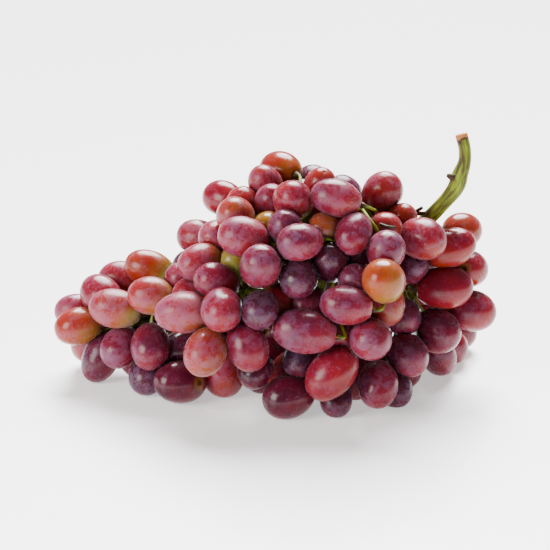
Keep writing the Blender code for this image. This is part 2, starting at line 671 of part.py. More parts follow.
def uncut_pairs(pairs, cuts):
    """The pairs of grapes that still hold together once both are cut."""
    kept = []
    for a, b, meeting in pairs:
        depths = [np.dot(normal, place - meeting) for place, normal in cuts[a] + cuts[b]]
        if min(depths, default=1) > fused_depth:
            kept.append((a, b, meeting))
    return kept


def cut_off(mesh, place, normal):
    """Takes away what lies beyond a plane and closes the cut with a flat."""
    geometry = mesh.verts[:] + mesh.edges[:] + mesh.faces[:]
    result = bmesh.ops.bisect_plane(mesh, geom=geometry, dist=1e-7, plane_co=Vector(place),
                                    plane_no=Vector(normal), clear_outer=True)
    rim = [item for item in result["geom_cut"] if isinstance(item, bmesh.types.BMEdge)]
    if rim:
        bmesh.ops.holes_fill(mesh, edges=rim, sides=0)


def make_material(name, colour, roughness):
    material = bpy.data.materials.new(name)
    material.use_nodes = True
    shader = material.node_tree.nodes["Principled BSDF"]
    shader.inputs["Base Color"].default_value = (*colour, 1)
    shader.inputs["Roughness"].default_value = roughness
    shader.inputs["Metallic"].default_value = 0.0
    return material


def add_object(name, mesh, material=None):
    data = bpy.data.meshes.new(name)
    bmesh.ops.recalc_face_normals(mesh, faces=mesh.faces[:])
    mesh.to_mesh(data)
    mesh.free()
    thing = bpy.data.objects.new(name, data)
    bpy.context.scene.collection.objects.link(thing)
    if material:
        data.materials.append(material)
    return thing


def fuse(name, meshes, material, solver="EXACT"):
    """One Boolean union over a collection joins overlapping closed pieces into one body."""
    base = add_object(name, meshes[0], material)
    if len(meshes) > 1:
        group = bpy.data.collections.new(name + "_pieces")
        bpy.context.scene.collection.children.link(group)
        for index, mesh in enumerate(meshes[1:]):
            piece = add_object(f"{name}_piece_{index}", mesh, material)
            bpy.context.scene.collection.objects.unlink(piece)
            group.objects.link(piece)
        union = base.modifiers.new("union", "BOOLEAN")
        union.operation = "UNION"
        union.operand_type = "COLLECTION"
        union.collection = group
        union.solver = solver
        evaluated = base.evaluated_get(bpy.context.evaluated_depsgraph_get())
        joined = bpy.data.meshes.new_from_object(evaluated)
        base.modifiers.clear()
        base.data = joined
        for piece in list(group.objects):
            bpy.data.objects.remove(piece, do_unlink=True)
        bpy.data.collections.remove(group)
    largest_body(base)
    base.data.shade_smooth()
    base.data.set_sharp_from_angle(angle=math.radians(50))
    return base


def largest_body(thing):
    """Keeps the biggest of a mesh's bodies, so that no scrap or sealed hollow is left, and makes triangles."""
    mesh = bmesh.new()
    mesh.from_mesh(thing.data)
    left = set(mesh.faces)
    bodies = []
    while left:
        body = {left.pop()}
        front = set(body)
        while front:
            front = {near for face in front for edge in face.edges for near in edge.link_faces} - body
            body |= front
        left -= body
        bodies.append(body)
    bodies.sort(key=len)
    scraps = [face for body in bodies[:-1] for face in body]
    bmesh.ops.delete(mesh, geom=scraps, context="FACES")
    bmesh.ops.triangulate(mesh, faces=mesh.faces[:])
    mesh.to_mesh(thing.data)
    mesh.free()


def tube(line, widths, sides, turn=0.3):
    """A ring of corners carried along a line without twisting, closed at both ends."""
    mesh = bmesh.new()
    ways = np.gradient(line, axis=0)
    ways = ways / np.linalg.norm(ways, axis=1, keepdims=True)
    side = np.cross(ways[0], (0.31, 0.17, 0.93))
    rings = []
    for point, way, width in zip(line, ways, widths):
        side = side - way * np.dot(side, way)
        side = side / np.linalg.norm(side)
        other = np.cross(way, side)
        angles = turn + np.arange(sides) * 2 * math.pi / sides
        corners = point + width * (np.cos(angles)[:, None] * side + np.sin(angles)[:, None] * other)
        rings.append([mesh.verts.new(corner) for corner in corners])
    for ring, following in zip(rings, rings[1:]):
        for index in range(sides):
            after = (index + 1) % sides
            mesh.faces.new((ring[index], ring[after], following[after], following[index]))
    mesh.faces.new(rings[0][::-1])
    mesh.faces.new(rings[-1])
    return mesh


def stem_meshes(routes):
    meshes = []
    for number, (kind, line, widths, _) in enumerate(routes):
        if kind == "rachis":
            meshes.append(tube(line, widths, 7))
        elif kind in ("lateral", "twig"):
            meshes.append(tube(line, widths, 4, 0.1 + 0.07 * number))
        else:
            widths = widths.copy()
            widths[0] = cap_radius
            meshes.append(tube(line, widths, 3, 0.05 * number))
    return meshes


def build():
    clear_scene()
    shown = seen_grapes()
    grapes = gather(settle(shown + filler_grapes(shown)))
    hulls = [grape_hull(grape) for grape in grapes]
    pairs, meetings = fused_pairs(grapes)
    members, owner = share_out(grapes, pairs)
    routes = stem_routes(grapes, members, pairs)
    cuts = stem_cuts(grapes, routes)
    for a, b, way, place in meetings:
        if owner[a] != owner[b]:
            cuts[a].append((place - way * node_gap / 2, way))
            cuts[b].append((place + way * node_gap / 2, -way))
    skin = make_material("grape_skin", (0.33, 0.045, 0.06), 0.35)
    green = make_material("grape_stem", (0.25, 0.27, 0.06), 0.55)
    for name, spray in members.items():
        for index in spray:
            for place, normal in cuts[index] + [((0, 0, 0), (0, 0, -1))]:
                cut_off(hulls[index], place, normal)
        fuse("grapes_" + name, [hulls[index] for index in spray], skin)
    fuse("stem", stem_meshes(routes), green, "MANIFOLD")
    for thing in bpy.data.objects:
        thing.data.transform(Matrix.Translation(Vector(centring)))


build()
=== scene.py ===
# A bunch of red table grapes, picked and lying on its side.
import math
from collections import namedtuple

import bpy
import numpy as np
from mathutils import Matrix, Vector


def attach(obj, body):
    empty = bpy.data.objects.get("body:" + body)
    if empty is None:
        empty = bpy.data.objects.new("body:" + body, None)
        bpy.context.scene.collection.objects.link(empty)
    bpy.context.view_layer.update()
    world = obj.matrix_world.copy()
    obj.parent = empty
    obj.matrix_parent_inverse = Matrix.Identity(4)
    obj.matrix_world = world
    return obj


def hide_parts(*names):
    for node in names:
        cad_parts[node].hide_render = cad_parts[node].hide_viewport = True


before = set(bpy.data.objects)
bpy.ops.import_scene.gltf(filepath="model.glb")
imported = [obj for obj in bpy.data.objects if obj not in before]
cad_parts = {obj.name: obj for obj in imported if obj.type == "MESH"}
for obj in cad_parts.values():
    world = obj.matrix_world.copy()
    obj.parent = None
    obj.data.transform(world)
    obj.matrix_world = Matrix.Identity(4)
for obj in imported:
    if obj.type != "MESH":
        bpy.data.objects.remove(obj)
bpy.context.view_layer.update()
print("stage: frame loaded")

mm = 0.001
tinyLength, tinySquare = 1e-9, 1e-12  # keep divisions and roots away from zero
farOff = 1.0  # metres, further than anything in the bunch
centring = np.array((0.84, -0.08, 0.0)) * mm  # sets the origin under the middle of the bunch

# The view that the places of the grapes are given in
view = {
    "tilt": math.radians(20.0),
    "distance": 1100 * mm,
    "aimUp": 50 * mm,  # the point aimed at, above the surface, on that view's upright
}

# How the grapes lie against one another and on the surface
lay = {
    "grapeRatio": 1.27,  # length over width of a typical grape
    "farLean": 4 * mm,  # a grape this much behind the main axis turns its blossom end away
    "layerStep": 9 * mm,  # how much deeper each layer of grapes lies
    "press": 1.9 * mm,  # how far two grapes may press into each other
    "touch": 1.6 * mm,  # and how far a grape's nearest neighbours do
    "neighbours": 4,  # that a grape is drawn to
    "sideGive": (0.03, 0.05),  # how freely a grape that shows moves sideways: outermost, and by layer
    "homing": 0.04,  # and how strongly it is held to its place as seen, each round
    "rounds": 90,
    "meetShares": (0.05, 0.95, 19),  # tried for how two ellipsoids share the way between them
    "mostGain": 4,  # how much further a grape that moves mostly in depth may go
    "pushShare": 0.5,  # of a press that is too deep, taken back each round
    "pullShare": (0.4, 0.12),  # of a gap, closed each round: to the nearest neighbour, and to the others
    "pullReach": 4 * mm,  # wider gaps aren't closed
    "clusterStep": 0.2 * mm,  # how much deeper than a touch a loose cluster moves in
    "fusedDepth": 0.1 * mm,  # how deep a meeting place lies in both faceted forms that hold together
    "longestMove": 1.5 * mm,  # of a grape in one round
    "pairReach": 34 * mm,  # grapes with centres further apart than this can't meet
    "axisApart": 13.5 * mm,  # from a grape's centre to the main axis of the stem
    "axisPush": 0.4,  # of what is missing to that, taken each round
    "inwards": 0.3,  # how strongly fillers outside the outline are drawn in, and the most they count
    "sink": 0.8,  # of a grape's way down to the surface, taken along the line of sight
    "floorPress": 0.8 * mm,  # how far a resting grape is flattened
    "grapeSides": 8,  # of the faceted form of a grape, which tells the grapes that hold together
    "grapeRings": (40, 76, 104, 140),  # degrees from the blossom end
    "fillerRings": (46, 90, 134),
    "facetSwell": 1.04,  # corners stand out by this, so that the flats are at the true size
    "crowding": 4.5 * mm,  # each grape in a spray makes the next one's way to it count this much longer
    "lowestCentre": 10 * mm,
    "bulge": (2.0, 3.0),  # powers of the outline above and below its middle height: round, and squarer
    "beyond": 5 * mm,  # past the outline's ends, each such length counts as 1
    "sightDepths": (85, -85, -0.5),  # looked at along a line of sight: from, to and step, in mm
    "decimals": (7, 5),  # kept of a centre in each round, and at the end
}

Grape = namedtuple("Grape", "centre halfLength halfWidth axis layer rests shown looks")

# Directions of the view: right, up in the picture, and towards the viewer
viewRight = np.array((1.0, 0.0, 0.0))
viewUp = np.array((0.0, math.sin(view["tilt"]), math.cos(view["tilt"])))
viewNear = np.array((0.0, -math.cos(view["tilt"]), math.sin(view["tilt"])))


# A place in the picture plane and its depth give the point in space: nearer things look larger.
def fromView(across, up, near):
    shrink = 1 - near / view["distance"]
    level = view["aimUp"] + (up - view["aimUp"]) * shrink
    return across * shrink * viewRight + level * viewUp + near * viewNear


# The same for a list of such places in mm.
def placesInView(rows):
    return np.array([fromView(*place) for place in np.array(rows) * mm])


# Outline of the bunch at stations along X, for the centres of its outermost grapes, in mm:
# x, middle y, half depth, middle height, top height
outline = np.array((
    (-106, 2, 3, 20, 25),
    (-90, 2, 12, 22, 36),
    (-60, 0, 27, 28, 56),
    (-40, 0, 37, 33, 65),
    (-30, 0, 42, 36, 77),
    (-22, 0, 44, 38, 88),
    (0, 0, 50, 42, 103),
    (30, 0, 50, 42, 98),
    (50, 0, 44, 42, 93),
    (65, 8, 26, 42, 84),
    (80, 15, 19, 42, 78),
    (95, 17, 15, 42, 66),
    (106, 18, 6, 40, 50),
)) * mm


# How far out a grape's centre is in the bunch: below 1 inside the outline, above 1 outside it.
def fullness(points):
    stations = [np.interp(points[..., 0], outline[:, 0], outline[:, column]) for column in range(1, 5)]
    middleY, halfDepth, middleZ, topZ = stations
    y = (points[..., 1] - middleY) / halfDepth
    high = points[..., 2] > middleZ
    halfHeight = np.where(high, topZ - middleZ, middleZ - lay["lowestCentre"])
    z = (points[..., 2] - middleZ) / halfHeight
    power = np.where(high, *lay["bulge"])
    beyond = np.maximum(0, np.maximum(points[..., 0] - outline[-1, 0], outline[0, 0] - points[..., 0]))
    return np.abs(y) ** power + np.abs(z) ** power + beyond / lay["beyond"]


# The depth at which a line of sight first meets the bunch's outline.
def surfaceDepth(across, up):
    depths = np.arange(*lay["sightDepths"]) * mm
    values = fullness(np.array([fromView(across, up, near) for near in depths]))
    inside = np.nonzero(values <= 1)[0]
    return depths[inside[0]] if len(inside) else depths[int(np.argmin(values))]


# The matrix B of a grape, an ellipsoid of the points x from its centre with x B^-1 x = 1.
def shapeMatrix(grape):
    stretch = grape.halfLength ** 2 - grape.halfWidth ** 2
    return grape.halfWidth ** 2 * np.eye(3) + stretch * np.outer(grape.axis, grape.axis)


# Grapes of the side that shows best: across, up, layer, length, width as seen (mm), the turn of the
# blossom end (degrees, 0 to the right, 90 up), 1 for a grape that rests on the surface, then its looks:
# ripeness (0 pale green, 0.4 orange, 0.7 crimson, 1 maroon), bloom and amber glow at its stalk (0 to 1)
seen = {
    "tail": (
        (-94.8, 33.8, 1.0, 22.0, 17.0, 180, 0, 0.58, 0.7, 0.2),
        (-94.8, 25.7, 0.0, 22.9, 18.1, 195, 0, 0.48, 0.35, 0.6),
        (-76.2, 34.8, 0.0, 25.7, 19.0, 172, 0, 0.48, 0.75, 0.6),
        (-73.3, 48.1, 1.5, 23.3, 18.0, 175, 0, 0.56, 0.5, 0.3),
        (-59.5, 52.9, 2.0, 24.8, 18.0, 160, 0, 0.43, 0.3, 0.9),
        (-58.6, 40.0, 1.0, 23.8, 18.0, 175, 0, 0.46, 0.6, 0.7),
        (-43.3, 32.4, 0.0, 28.6, 20.0, 183, 0, 0.56, 0.85, 0.5),
        (-60.5, 15.7, 0.0, 22.4, 19.0, 270, 0, 0.78, 0.45, 0.1),
        (-74.8, 14.3, 1.0, 21.0, 18.1, 240, 0, 0.75, 0.7, 0.1),
        (-83.8, 11.0, 1.0, 25.7, 18.0, 248, 1, 0.85, 0.4, 0),
        (-89.0, 13.8, 2.0, 19.0, 17.5, 220, 0, 0.62, 0.3, 0.1),
        (-61.0, 1.4, 1.0, 20.0, 18.0, 260, 1, 0.92, 0.75, 0),
        (-45.7, -3.3, 0.0, 24.8, 21.0, 175, 1, 0.84, 0.15, 0.1),
        (-46.7, 15.7, 1.5, 20.0, 18.0, 200, 0, 0.9, 0.3, 0),
    ),
    "left shoulder": (
        (-25.5, 34.0, -0.5, 21.4, 20.5, 260, 0, 0.66, 0.5, 0.1),
        (-32.9, 12.4, 0.0, 23.8, 20.0, 245, 0, 0.5, 0.6, 0.7),
        (-12.9, 15.7, 0.0, 25.2, 20.0, 288, 0, 0.72, 0.35, 0.1),
        (-27.1, 47.6, 1.0, 22.0, 18.0, 165, 0, 0.7, 0.4, 0.45),
        (-19.0, 53.3, 2.0, 19.0, 17.0, 120, 0, 0.06, 0.2, 0.3),
        (-43.3, 46.7, 2.0, 18.0, 16.0, 150, 0, 0.62, 0.5, 0.2),
        (-38.6, 43.3, 1.5, 20.0, 17.0, 190, 0, 0.55, 0.5, 0.4),
        (-34.3, 54.8, 1.0, 22.0, 18.0, 200, 0, 0.55, 0.65, 0.85),
        (-36.2, 68.1, 1.5, 21.0, 17.0, 170, 0, 0.58, 0.55, 0.2),
        (-28.1, 68.6, 1.0, 18.0, 17.0, 190, 0, 0.57, 0.65, 0.45),
        (-15.2, 68.1, 0.0, 25.7, 20.0, 168, 0, 0.64, 0.6, 0.2),
        (-19.0, 77.6, 1.0, 19.5, 18.5, 120, 0, 0.42, 0.5, 0.7),
        (-13.8, 82.4, 1.7, 20.0, 18.0, 110, 0, 0.46, 0.4, 0.8),
        (-24.8, 87.1, 2.0, 20.0, 17.0, 165, 0, 0.6, 0.25, 0.1),
    ),
    "middle": (
        (2.9, 100.0, 2.0, 21.0, 19.0, 160, 0, 0.48, 0.12, 0.5),
        (-4.8, 93.8, 2.5, 18.0, 16.0, 120, 0, 0.55, 0.6, 0.1),
        (-1.9, 84.8, 1.5, 18.0, 17.0, 100, 0, 0.64, 0.6, 0.35),
        (8.1, 86.2, 0.5, 19.5, 19.0, 80, 0, 0.6, 0.4, 0.6),
        (-3.3, 70.0, 1.7, 18.0, 17.5, 90, 0, 0.18, 0.2, 0.4),
        (12.4, 66.7, 0.0, 22.0, 18.0, 188, 0, 0.74, 0.6, 0.1),
        (6.2, 72.4, 1.3, 18.0, 17.0, 90, 0, 0.8, 0.5, 0),
        (11.9, 48.6, 1.3, 20.5, 19.0, 270, 0, 0.93, 0.4, 0),
        (-7.9, 53.3, 0.0, 21.4, 20.0, 80, 0, 0.74, 0.5, 0.1),
        (-6.7, 32.9, 1.3, 19.0, 18.0, 250, 0, 0.93, 0.5, 0),
        (1.4, 36.7, 2.0, 18.0, 16.0, 260, 0, 0.5, 0.2, 0.5),
        (21.0, 92.4, 2.0, 18.0, 16.0, 70, 0, 0.5, 0.3, 0.3),
        (29.5, 86.7, 0.5, 24.8, 18.0, 165, 0, 0.66, 0.6, 0.15),
        (27.6, 81.9, 1.5, 21.0, 17.0, 200, 0, 0.65, 0.3, 0.1),
        (24.3, 71.4, 1.5, 18.0, 17.0, 180, 0, 0.32, 0.5, 0.5),
    ),
    "right shoulder": (
        (36.2, 69.0, 0.7, 21.0, 17.6, 245, 0, 0.72, 0.5, 0.1),
        (51.0, 89.3, 1.0, 21.0, 19.0, 55, 0, 0.52, 0.5, 0.15),
        (51.9, 71.4, 1.3, 18.0, 17.5, 60, 0, 0.52, 0.35, 0.3),
        (60.5, 75.2, 1.7, 17.0, 15.0, 40, 0, 0.42, 0.3, 0.4),
        (53.3, 61.0, 0.7, 20.0, 19.0, 80, 0, 0.72, 0.7, 0.1),
        (51.9, 47.4, -0.3, 21.4, 20.8, 120, 0, 0.34, 0.15, 0.2),
        (30.0, 55.7, 1.3, 20.0, 19.0, 90, 0, 0.93, 0.3, 0),
        (38.6, 57.1, 1.7, 18.0, 16.0, 90, 0, 0.85, 0.3, 0.1),
        (37.1, 47.1, 1.0, 18.0, 17.0, 100, 0, 0.8, 0.5, 0.1),
        (33.8, 36.7, 0.3, 25.7, 19.0, 172, 0, 0.74, 0.5, 0.1),
        (16.2, 34.8, 1.0, 19.0, 16.5, 190, 0, 0.7, 0.6, 0.2),
        (14.3, 22.4, 0.0, 31.4, 21.4, 172, 0, 0.74, 0.5, 0.1),
        (46.2, 19.5, 0.0, 21.0, 20.5, 270, 0, 0.72, 0.65, 0.1),
        (60.0, 33.3, 0.7, 18.5, 17.5, 240, 0, 0.82, 0.5, 0.1),
        (64.8, 52.4, 1.5, 18.0, 16.0, 30, 0, 0.85, 0.5, 0.1),
    ),
    "stem end": (
        (69.5, 67.6, 0.3, 22.9, 20.0, 342, 0, 0.62, 0.55, 0.5),
        (88.1, 72.9, 1.0, 20.0, 17.5, 10, 0, 0.48, 0.3, 0.2),
        (83.3, 62.4, 0.8, 25.7, 19.0, 22, 0, 0.6, 0.2, 0.4),
        (92.4, 52.4, 1.5, 18.5, 18.0, 0, 0, 0.62, 0.35, 0.1),
        (81.0, 45.0, 0.0, 28.0, 21.0, 4, 0, 0.68, 0.1, 0.1),
        (92.9, 31.9, 1.0, 24.8, 20.0, 348, 0, 0.68, 0.3, 0.1),
        (77.6, 23.3, 0.2, 22.9, 21.4, 315, 0, 0.8, 0.35, 0.1),
        (89.0, 21.4, 1.8, 19.0, 17.0, 330, 1, 0.78, 0.25, 0.1),
        (77.6, 10.5, 1.0, 19.0, 17.0, 300, 1, 0.8, 0.45, 0.1),
        (84.3, 14.3, 1.8, 17.0, 16.0, 320, 0, 0.7, 0.3, 0.1),
        (63.3, 14.8, 0.0, 22.0, 20.0, 305, 0, 0.76, 0.6, 0.45),
    ),
    "underside": (
        (11.4, 9.0, 1.3, 18.0, 16.0, 260, 0, 0.92, 0.6, 0),
        (6.2, -8.1, 0.0, 25.7, 21.0, 200, 1, 0.84, 0.15, 0.1),
        (26.7, 2.4, -0.3, 29.5, 22.0, 228, 0, 0.64, 0.25, 0.1),
        (29.0, -9.0, 1.0, 19.0, 16.0, 270, 1, 0.9, 0.4, 0),
        (48.1, -1.9, 0.0, 22.9, 19.5, 265, 0, 0.76, 0.55, 0.4),
        (53.8, -4.8, 1.0, 20.0, 17.0, 285, 1, 0.9, 0.6, 0),
        (-11.4, 6.7, 1.2, 19.0, 17.0, 260, 0, 0.93, 0.35, 0),
        (-5.7, 1.0, 1.0, 18.0, 16.0, 250, 1, 0.93, 0.6, 0),
    ),
}


# Grapes of the side that shows. One that looks too short for its width leans towards or away.
def seenGrapes():
    grapes = []
    for rows in seen.values():
        for across, up, layer, length, width, turn, rests, *looks in rows:
            across, up, length, width = across * mm, up * mm, length * mm, width * mm
            near = surfaceDepth(across, up) - layer * lay["layerStep"]
            ratio = length / width
            lean = 0.0
            centre = fromView(across, up, near)
            if ratio < lay["grapeRatio"]:
                lean = math.acos(math.sqrt(max(ratio ** 2 - 1, 0) / (lay["grapeRatio"] ** 2 - 1)))
                lean = math.copysign(lean, np.dot(centre - axisPoint(centre), viewNear) + lay["farLean"])
                length = width * lay["grapeRatio"]
            shrink = 1 - near / view["distance"]
            angle = math.radians(turn)
            flat = math.cos(angle) * viewRight + math.sin(angle) * viewUp
            axis = math.cos(lean) * flat + math.sin(lean) * viewNear
            halves = length * shrink / 2, width * shrink / 2
            grape = Grape(centre, *halves, axis, layer, bool(rests), True, looks)
            if rests:
                height = math.sqrt(shapeMatrix(grape)[2, 2]) - lay["floorPress"]
                grape = grape._replace(centre=centre + (height - centre[2]) / viewNear[2] * viewNear)
            grapes.append(grape)
    return grapes


# Main axis of the stem from its cut end to the tail: across, up and towards the viewer, in mm
rachisRoute = (
    (88.6, 117.1, 30), (90.3, 110, 29), (90.2, 103.8, 28), (88.1, 97.6, 26), (86.2, 91.9, 24),
    (82.4, 86.7, 22), (77.6, 81.4, 19), (72.9, 76.7, 16), (64, 69, 14), (52, 62, 16), (36, 58, 18),
    (18, 55, 18), (0, 51, 17), (-18, 47, 15), (-36, 42, 13), (-54, 36, 12), (-66, 32, 10), (-76, 29, 9),
)
# Thickness of the main axis: how far down the route, and radius in mm
rachisRadii = ((0, 2.9), (2, 3.1), (3.4, 3.8), (5, 3.4), (8, 3.3), (17, 1.3))
bud = ((84.8, 96.4, 27), (82.0, 97.5, 28))  # a small bud on the swelling, from root to tip
budRadii = (2.2 * mm, 0.9 * mm)
twiglets = (  # dry stalks that lost their grapes
    ((64, 69, 14), (64.6, 75, 17), (66.5, 79.5, 19), (70.2, 82.2, 21)),
    ((66.5, 79.5, 19), (69.5, 79.3, 20), (71.6, 79.6, 22)),
)
twigletRadii = (1.2 * mm, 0.8 * mm)


# The point of the main axis nearest to a place.
def axisPoint(centre):
    steps = rachisPoints()
    return steps[int(np.argmin(np.sum((steps - centre) ** 2, axis=1)))]


# The main axis as close-set points on a smooth curve through its route.
def rachisPoints():
    return smoothLine(placesInView(rachisRoute), branching["routeSteps"])


# Catmull-Rom curve: each stretch is a cubic whose ends aim along the neighbours.
def smoothLine(route, steps):
    ends = np.vstack((2 * route[0] - route[1], route, 2 * route[-1] - route[-2]))
    t = (np.arange(steps) / steps)[:, None]
    parts = []
    for a, b, c, d in zip(ends, ends[1:], ends[2:], ends[3:]):
        cubic = 2 * b + (c - a) * t + (2 * a - 5 * b + 4 * c - d) * t ** 2 + (3 * b - a - 3 * c + d) * t ** 3
        parts.append(0.5 * cubic)
    return np.vstack(parts + [route[-1:]])


# Where the grapes go that don't show
fill = {
    "grid": 5 * mm,  # places tried, each moved by up to half a step
    "reach": (26, 20, 20),  # steps of the grid to each side: along, across and up
    "middle": (0, 0, 50 * mm),
    "shownApart": 17 * mm,  # a filler's centre stays this far from a grape that shows
    "apart": 2.8 * mm,  # and this much further from another filler
    "offAxis": 11 * mm,  # from the main axis of the stem
    "tilt": 0.35,  # spread of the blossom ends about straight outwards
    "rests": 14 * mm,  # fillers with centres lower than this rest on the surface
    "ends": (-84 * mm, 86 * mm),  # and how far along X they lie
    "heart": 0.2,  # how far out the fillers start, by the measure of fullness
    "width": (18.5 * mm, 21.5 * mm),  # least and most
    "seed": 11,
}


# Grapes on the far side and inside the bunch, from the outside in, blossom ends outwards.
def fillerGrapes(grapes):
    draw = np.random.default_rng(fill["seed"])
    long, deep, high = (np.arange(-count, count + 1) for count in fill["reach"])
    i, j, k = (part.ravel() for part in np.meshgrid(long, deep, high, indexing="ij"))
    places = np.stack((i, j, k), axis=1) * fill["grid"] + np.array(fill["middle"])
    places = places + draw.uniform(-0.5, 0.5, places.shape) * fill["grid"]
    full = fullness(places)
    inside = (full > fill["heart"]) & (full < 1) & (places[:, 2] > lay["lowestCentre"])
    inside &= (places[:, 0] > fill["ends"][0]) & (places[:, 0] < fill["ends"][1])
    places, full = places[inside], full[inside]
    places = places[np.argsort(-full, kind="stable")]
    centres = [grape.centre for grape in grapes]
    shown = len(centres)
    axisLine = rachisPoints()
    added = []
    for place in places:
        far = np.linalg.norm(np.array(centres) - place, axis=1)
        if min(far[:shown].min(), far[shown:].min(initial=farOff) - fill["apart"]) < fill["shownApart"]:
            continue
        if np.min(np.linalg.norm(axisLine - place, axis=1)) < fill["offAxis"]:
            continue
        halfWidth = draw.uniform(*fill["width"]) / 2
        outward = place - axisPoint(place)
        outward = outward / np.linalg.norm(outward) + draw.normal(0, fill["tilt"], 3)
        axis = outward / np.linalg.norm(outward)
        rests = bool(place[2] < fill["rests"])
        added.append(Grape(place, halfWidth * lay["grapeRatio"], halfWidth, axis, 0, rests, False, None))
        centres.append(place)
    return added


# Gap, direction and meeting point of pairs of ellipsoids, grown or shrunk alike until they touch.
def contacts(shapes, centres, first, second):
    reach = centres[second] - centres[first]
    shares = np.linspace(*lay["meetShares"])
    blend = ((1 - shares)[None, :, None, None] * shapes[first][:, None]
             + shares[None, :, None, None] * shapes[second][:, None])
    sides = np.broadcast_to(reach[:, None, :, None], blend.shape[:2] + (3, 1))
    solved = np.linalg.solve(blend, sides)[..., 0]
    values = shares * (1 - shares) * np.einsum("ni,nsi->ns", reach, solved)
    best = np.argmax(values, axis=1)
    row = np.arange(len(first))
    size, share, normal = values[row, best], shares[best][:, None], solved[row, best]
    point = centres[first] + (1 - share) * np.einsum("nij,nj->ni", shapes[first], normal)
    normal = normal / np.linalg.norm(normal, axis=1, keepdims=True)
    gap = np.einsum("ni,ni->n", reach, normal) * (1 - 1 / np.sqrt(size))
    return gap, normal, point


# Every pair of grapes with centres less than a reach apart, each pair once.
def nearPairs(centres, reach):
    first, second = np.triu_indices(len(centres), 1)
    close = np.linalg.norm(centres[first] - centres[second], axis=1) < reach
    return first[close], second[close]


# How far each grape moves, so that no pair presses too hard and near neighbours meet.
def pressMoves(centres, shapes, ease):
    first, second = nearPairs(centres, lay["pairReach"])
    gap, normal, _ = contacts(shapes, centres, first, second)
    gaps = np.full((len(centres), len(centres)), farOff)
    gaps[first, second] = gaps[second, first] = gap
    last = np.sort(gaps, axis=1)[:, lay["neighbours"] - 1]
    closest = np.min(gaps, axis=1)
    wanted = (gap <= np.maximum(last[first], last[second])) & (gap > -lay["touch"]) & (gap < lay["pullReach"])
    nearest = (gap <= closest[first]) | (gap <= closest[second])
    pull = np.where(wanted, gap + lay["touch"], 0) * np.where(nearest, *lay["pullShare"])
    change = np.maximum(-lay["press"] - gap, 0) * lay["pushShare"] - pull
    waysA = np.einsum("nij,nj->ni", ease[first], change[:, None] * normal)
    waysB = np.einsum("nij,nj->ni", ease[second], change[:, None] * normal)
    gained = np.abs(np.einsum("ni,ni->n", waysA + waysB, normal))
    asked = np.maximum(np.abs(change), tinyLength)
    gain = (asked / np.maximum(gained, asked / lay["mostGain"]))[:, None]
    moves = np.zeros_like(centres)
    np.add.at(moves, first, -waysA * gain)
    np.add.at(moves, second, waysB * gain)
    length = np.linalg.norm(moves, axis=1, keepdims=True)
    return moves * np.minimum(1, lay["longestMove"] / np.maximum(length, tinyLength))


# How far each grape moves away from the main axis of the stem.
def axisMoves(centres, axisLine):
    away = centres[:, None] - axisLine
    distance = np.linalg.norm(away, axis=2)
    row, nearest = np.arange(len(centres)), np.argmin(distance, axis=1)
    distance = distance[row, nearest][:, None]
    return away[row, nearest] / distance * np.maximum(lay["axisApart"] - distance, 0) * lay["axisPush"]


# Grapes that press too hard move apart, and loose ones move in. Those that show move mostly in depth.
def settle(grapes):
    centres = np.array([grape.centre for grape in grapes])
    shapes = np.array([shapeMatrix(grape) for grape in grapes])
    heights = np.sqrt(shapes[:, 2, 2]) - lay["floorPress"]
    rests = np.array([grape.rests for grape in grapes])
    shown = np.array([grape.shown for grape in grapes])
    layer = np.array([max(grape.layer, 0) for grape in grapes])
    inDepth = np.outer(viewNear, viewNear)
    sideways = np.eye(3) - inDepth
    give = (lay["sideGive"][0] + lay["sideGive"][1] * layer)[:, None, None]
    ease = np.where(shown[:, None, None], inDepth + give * sideways, np.eye(3))
    homes = centres.copy()
    axisLine = rachisPoints()
    downSight = lay["sink"] * viewNear / viewNear[2] + np.array((0, 0, 1 - lay["sink"]))
    for _ in range(lay["rounds"]):
        centres = centres + pressMoves(centres, shapes, ease)
        over = np.clip(fullness(centres[~shown]) - 1, 0, lay["inwards"])[:, None]
        heart = np.array([axisPoint(place) for place in centres[~shown]])
        centres[~shown] += (heart - centres[~shown]) * over * lay["inwards"]
        centres = centres + np.einsum("nij,nj->ni", ease, axisMoves(centres, axisLine))
        centres += np.where(shown[:, None], (homes - centres) @ sideways, 0) * lay["homing"]
        low = heights - centres[:, 2]
        low = np.where(rests, low, np.maximum(low, 0))[:, None]
        centres += low * np.where(shown[:, None], downSight, np.array((0, 0, 1.0)))
        centres[:, 2] = np.maximum(centres[:, 2], heights)
        centres = np.round(centres, lay["decimals"][0])
    centres[:, 2] = np.where(rests, heights, centres[:, 2])
    centres = np.round(centres, lay["decimals"][1])
    return [grape._replace(centre=centre) for centre, grape in zip(centres, grapes)]


# Tip, rings and root of a ball of flat rings, stretched along the grape's axis and set at its centre.
def hullCorners(grape):
    levels = np.radians(lay["grapeRings"] if grape.shown else lay["fillerRings"])[:, None, None]
    angles = np.arange(lay["grapeSides"]) * 2 * math.pi / lay["grapeSides"]
    ring = np.stack((np.cos(angles), np.sin(angles), np.zeros(lay["grapeSides"])), axis=1)
    ball = np.sin(levels) * ring + np.cos(levels) * np.array((0, 0, 1.0))
    ball = np.vstack(((0, 0, 1.0), ball.reshape(-1, 3), (0, 0, -1.0)))
    turn = np.array(Vector(grape.axis).to_track_quat("Z", "Y").to_matrix())
    size = np.array((grape.halfWidth, grape.halfWidth, grape.halfLength)) * lay["facetSwell"]
    corners = (ball * size) @ turn.T + grape.centre
    return corners[0], corners[1:-1].reshape(len(levels), lay["grapeSides"], 3), corners[-1]


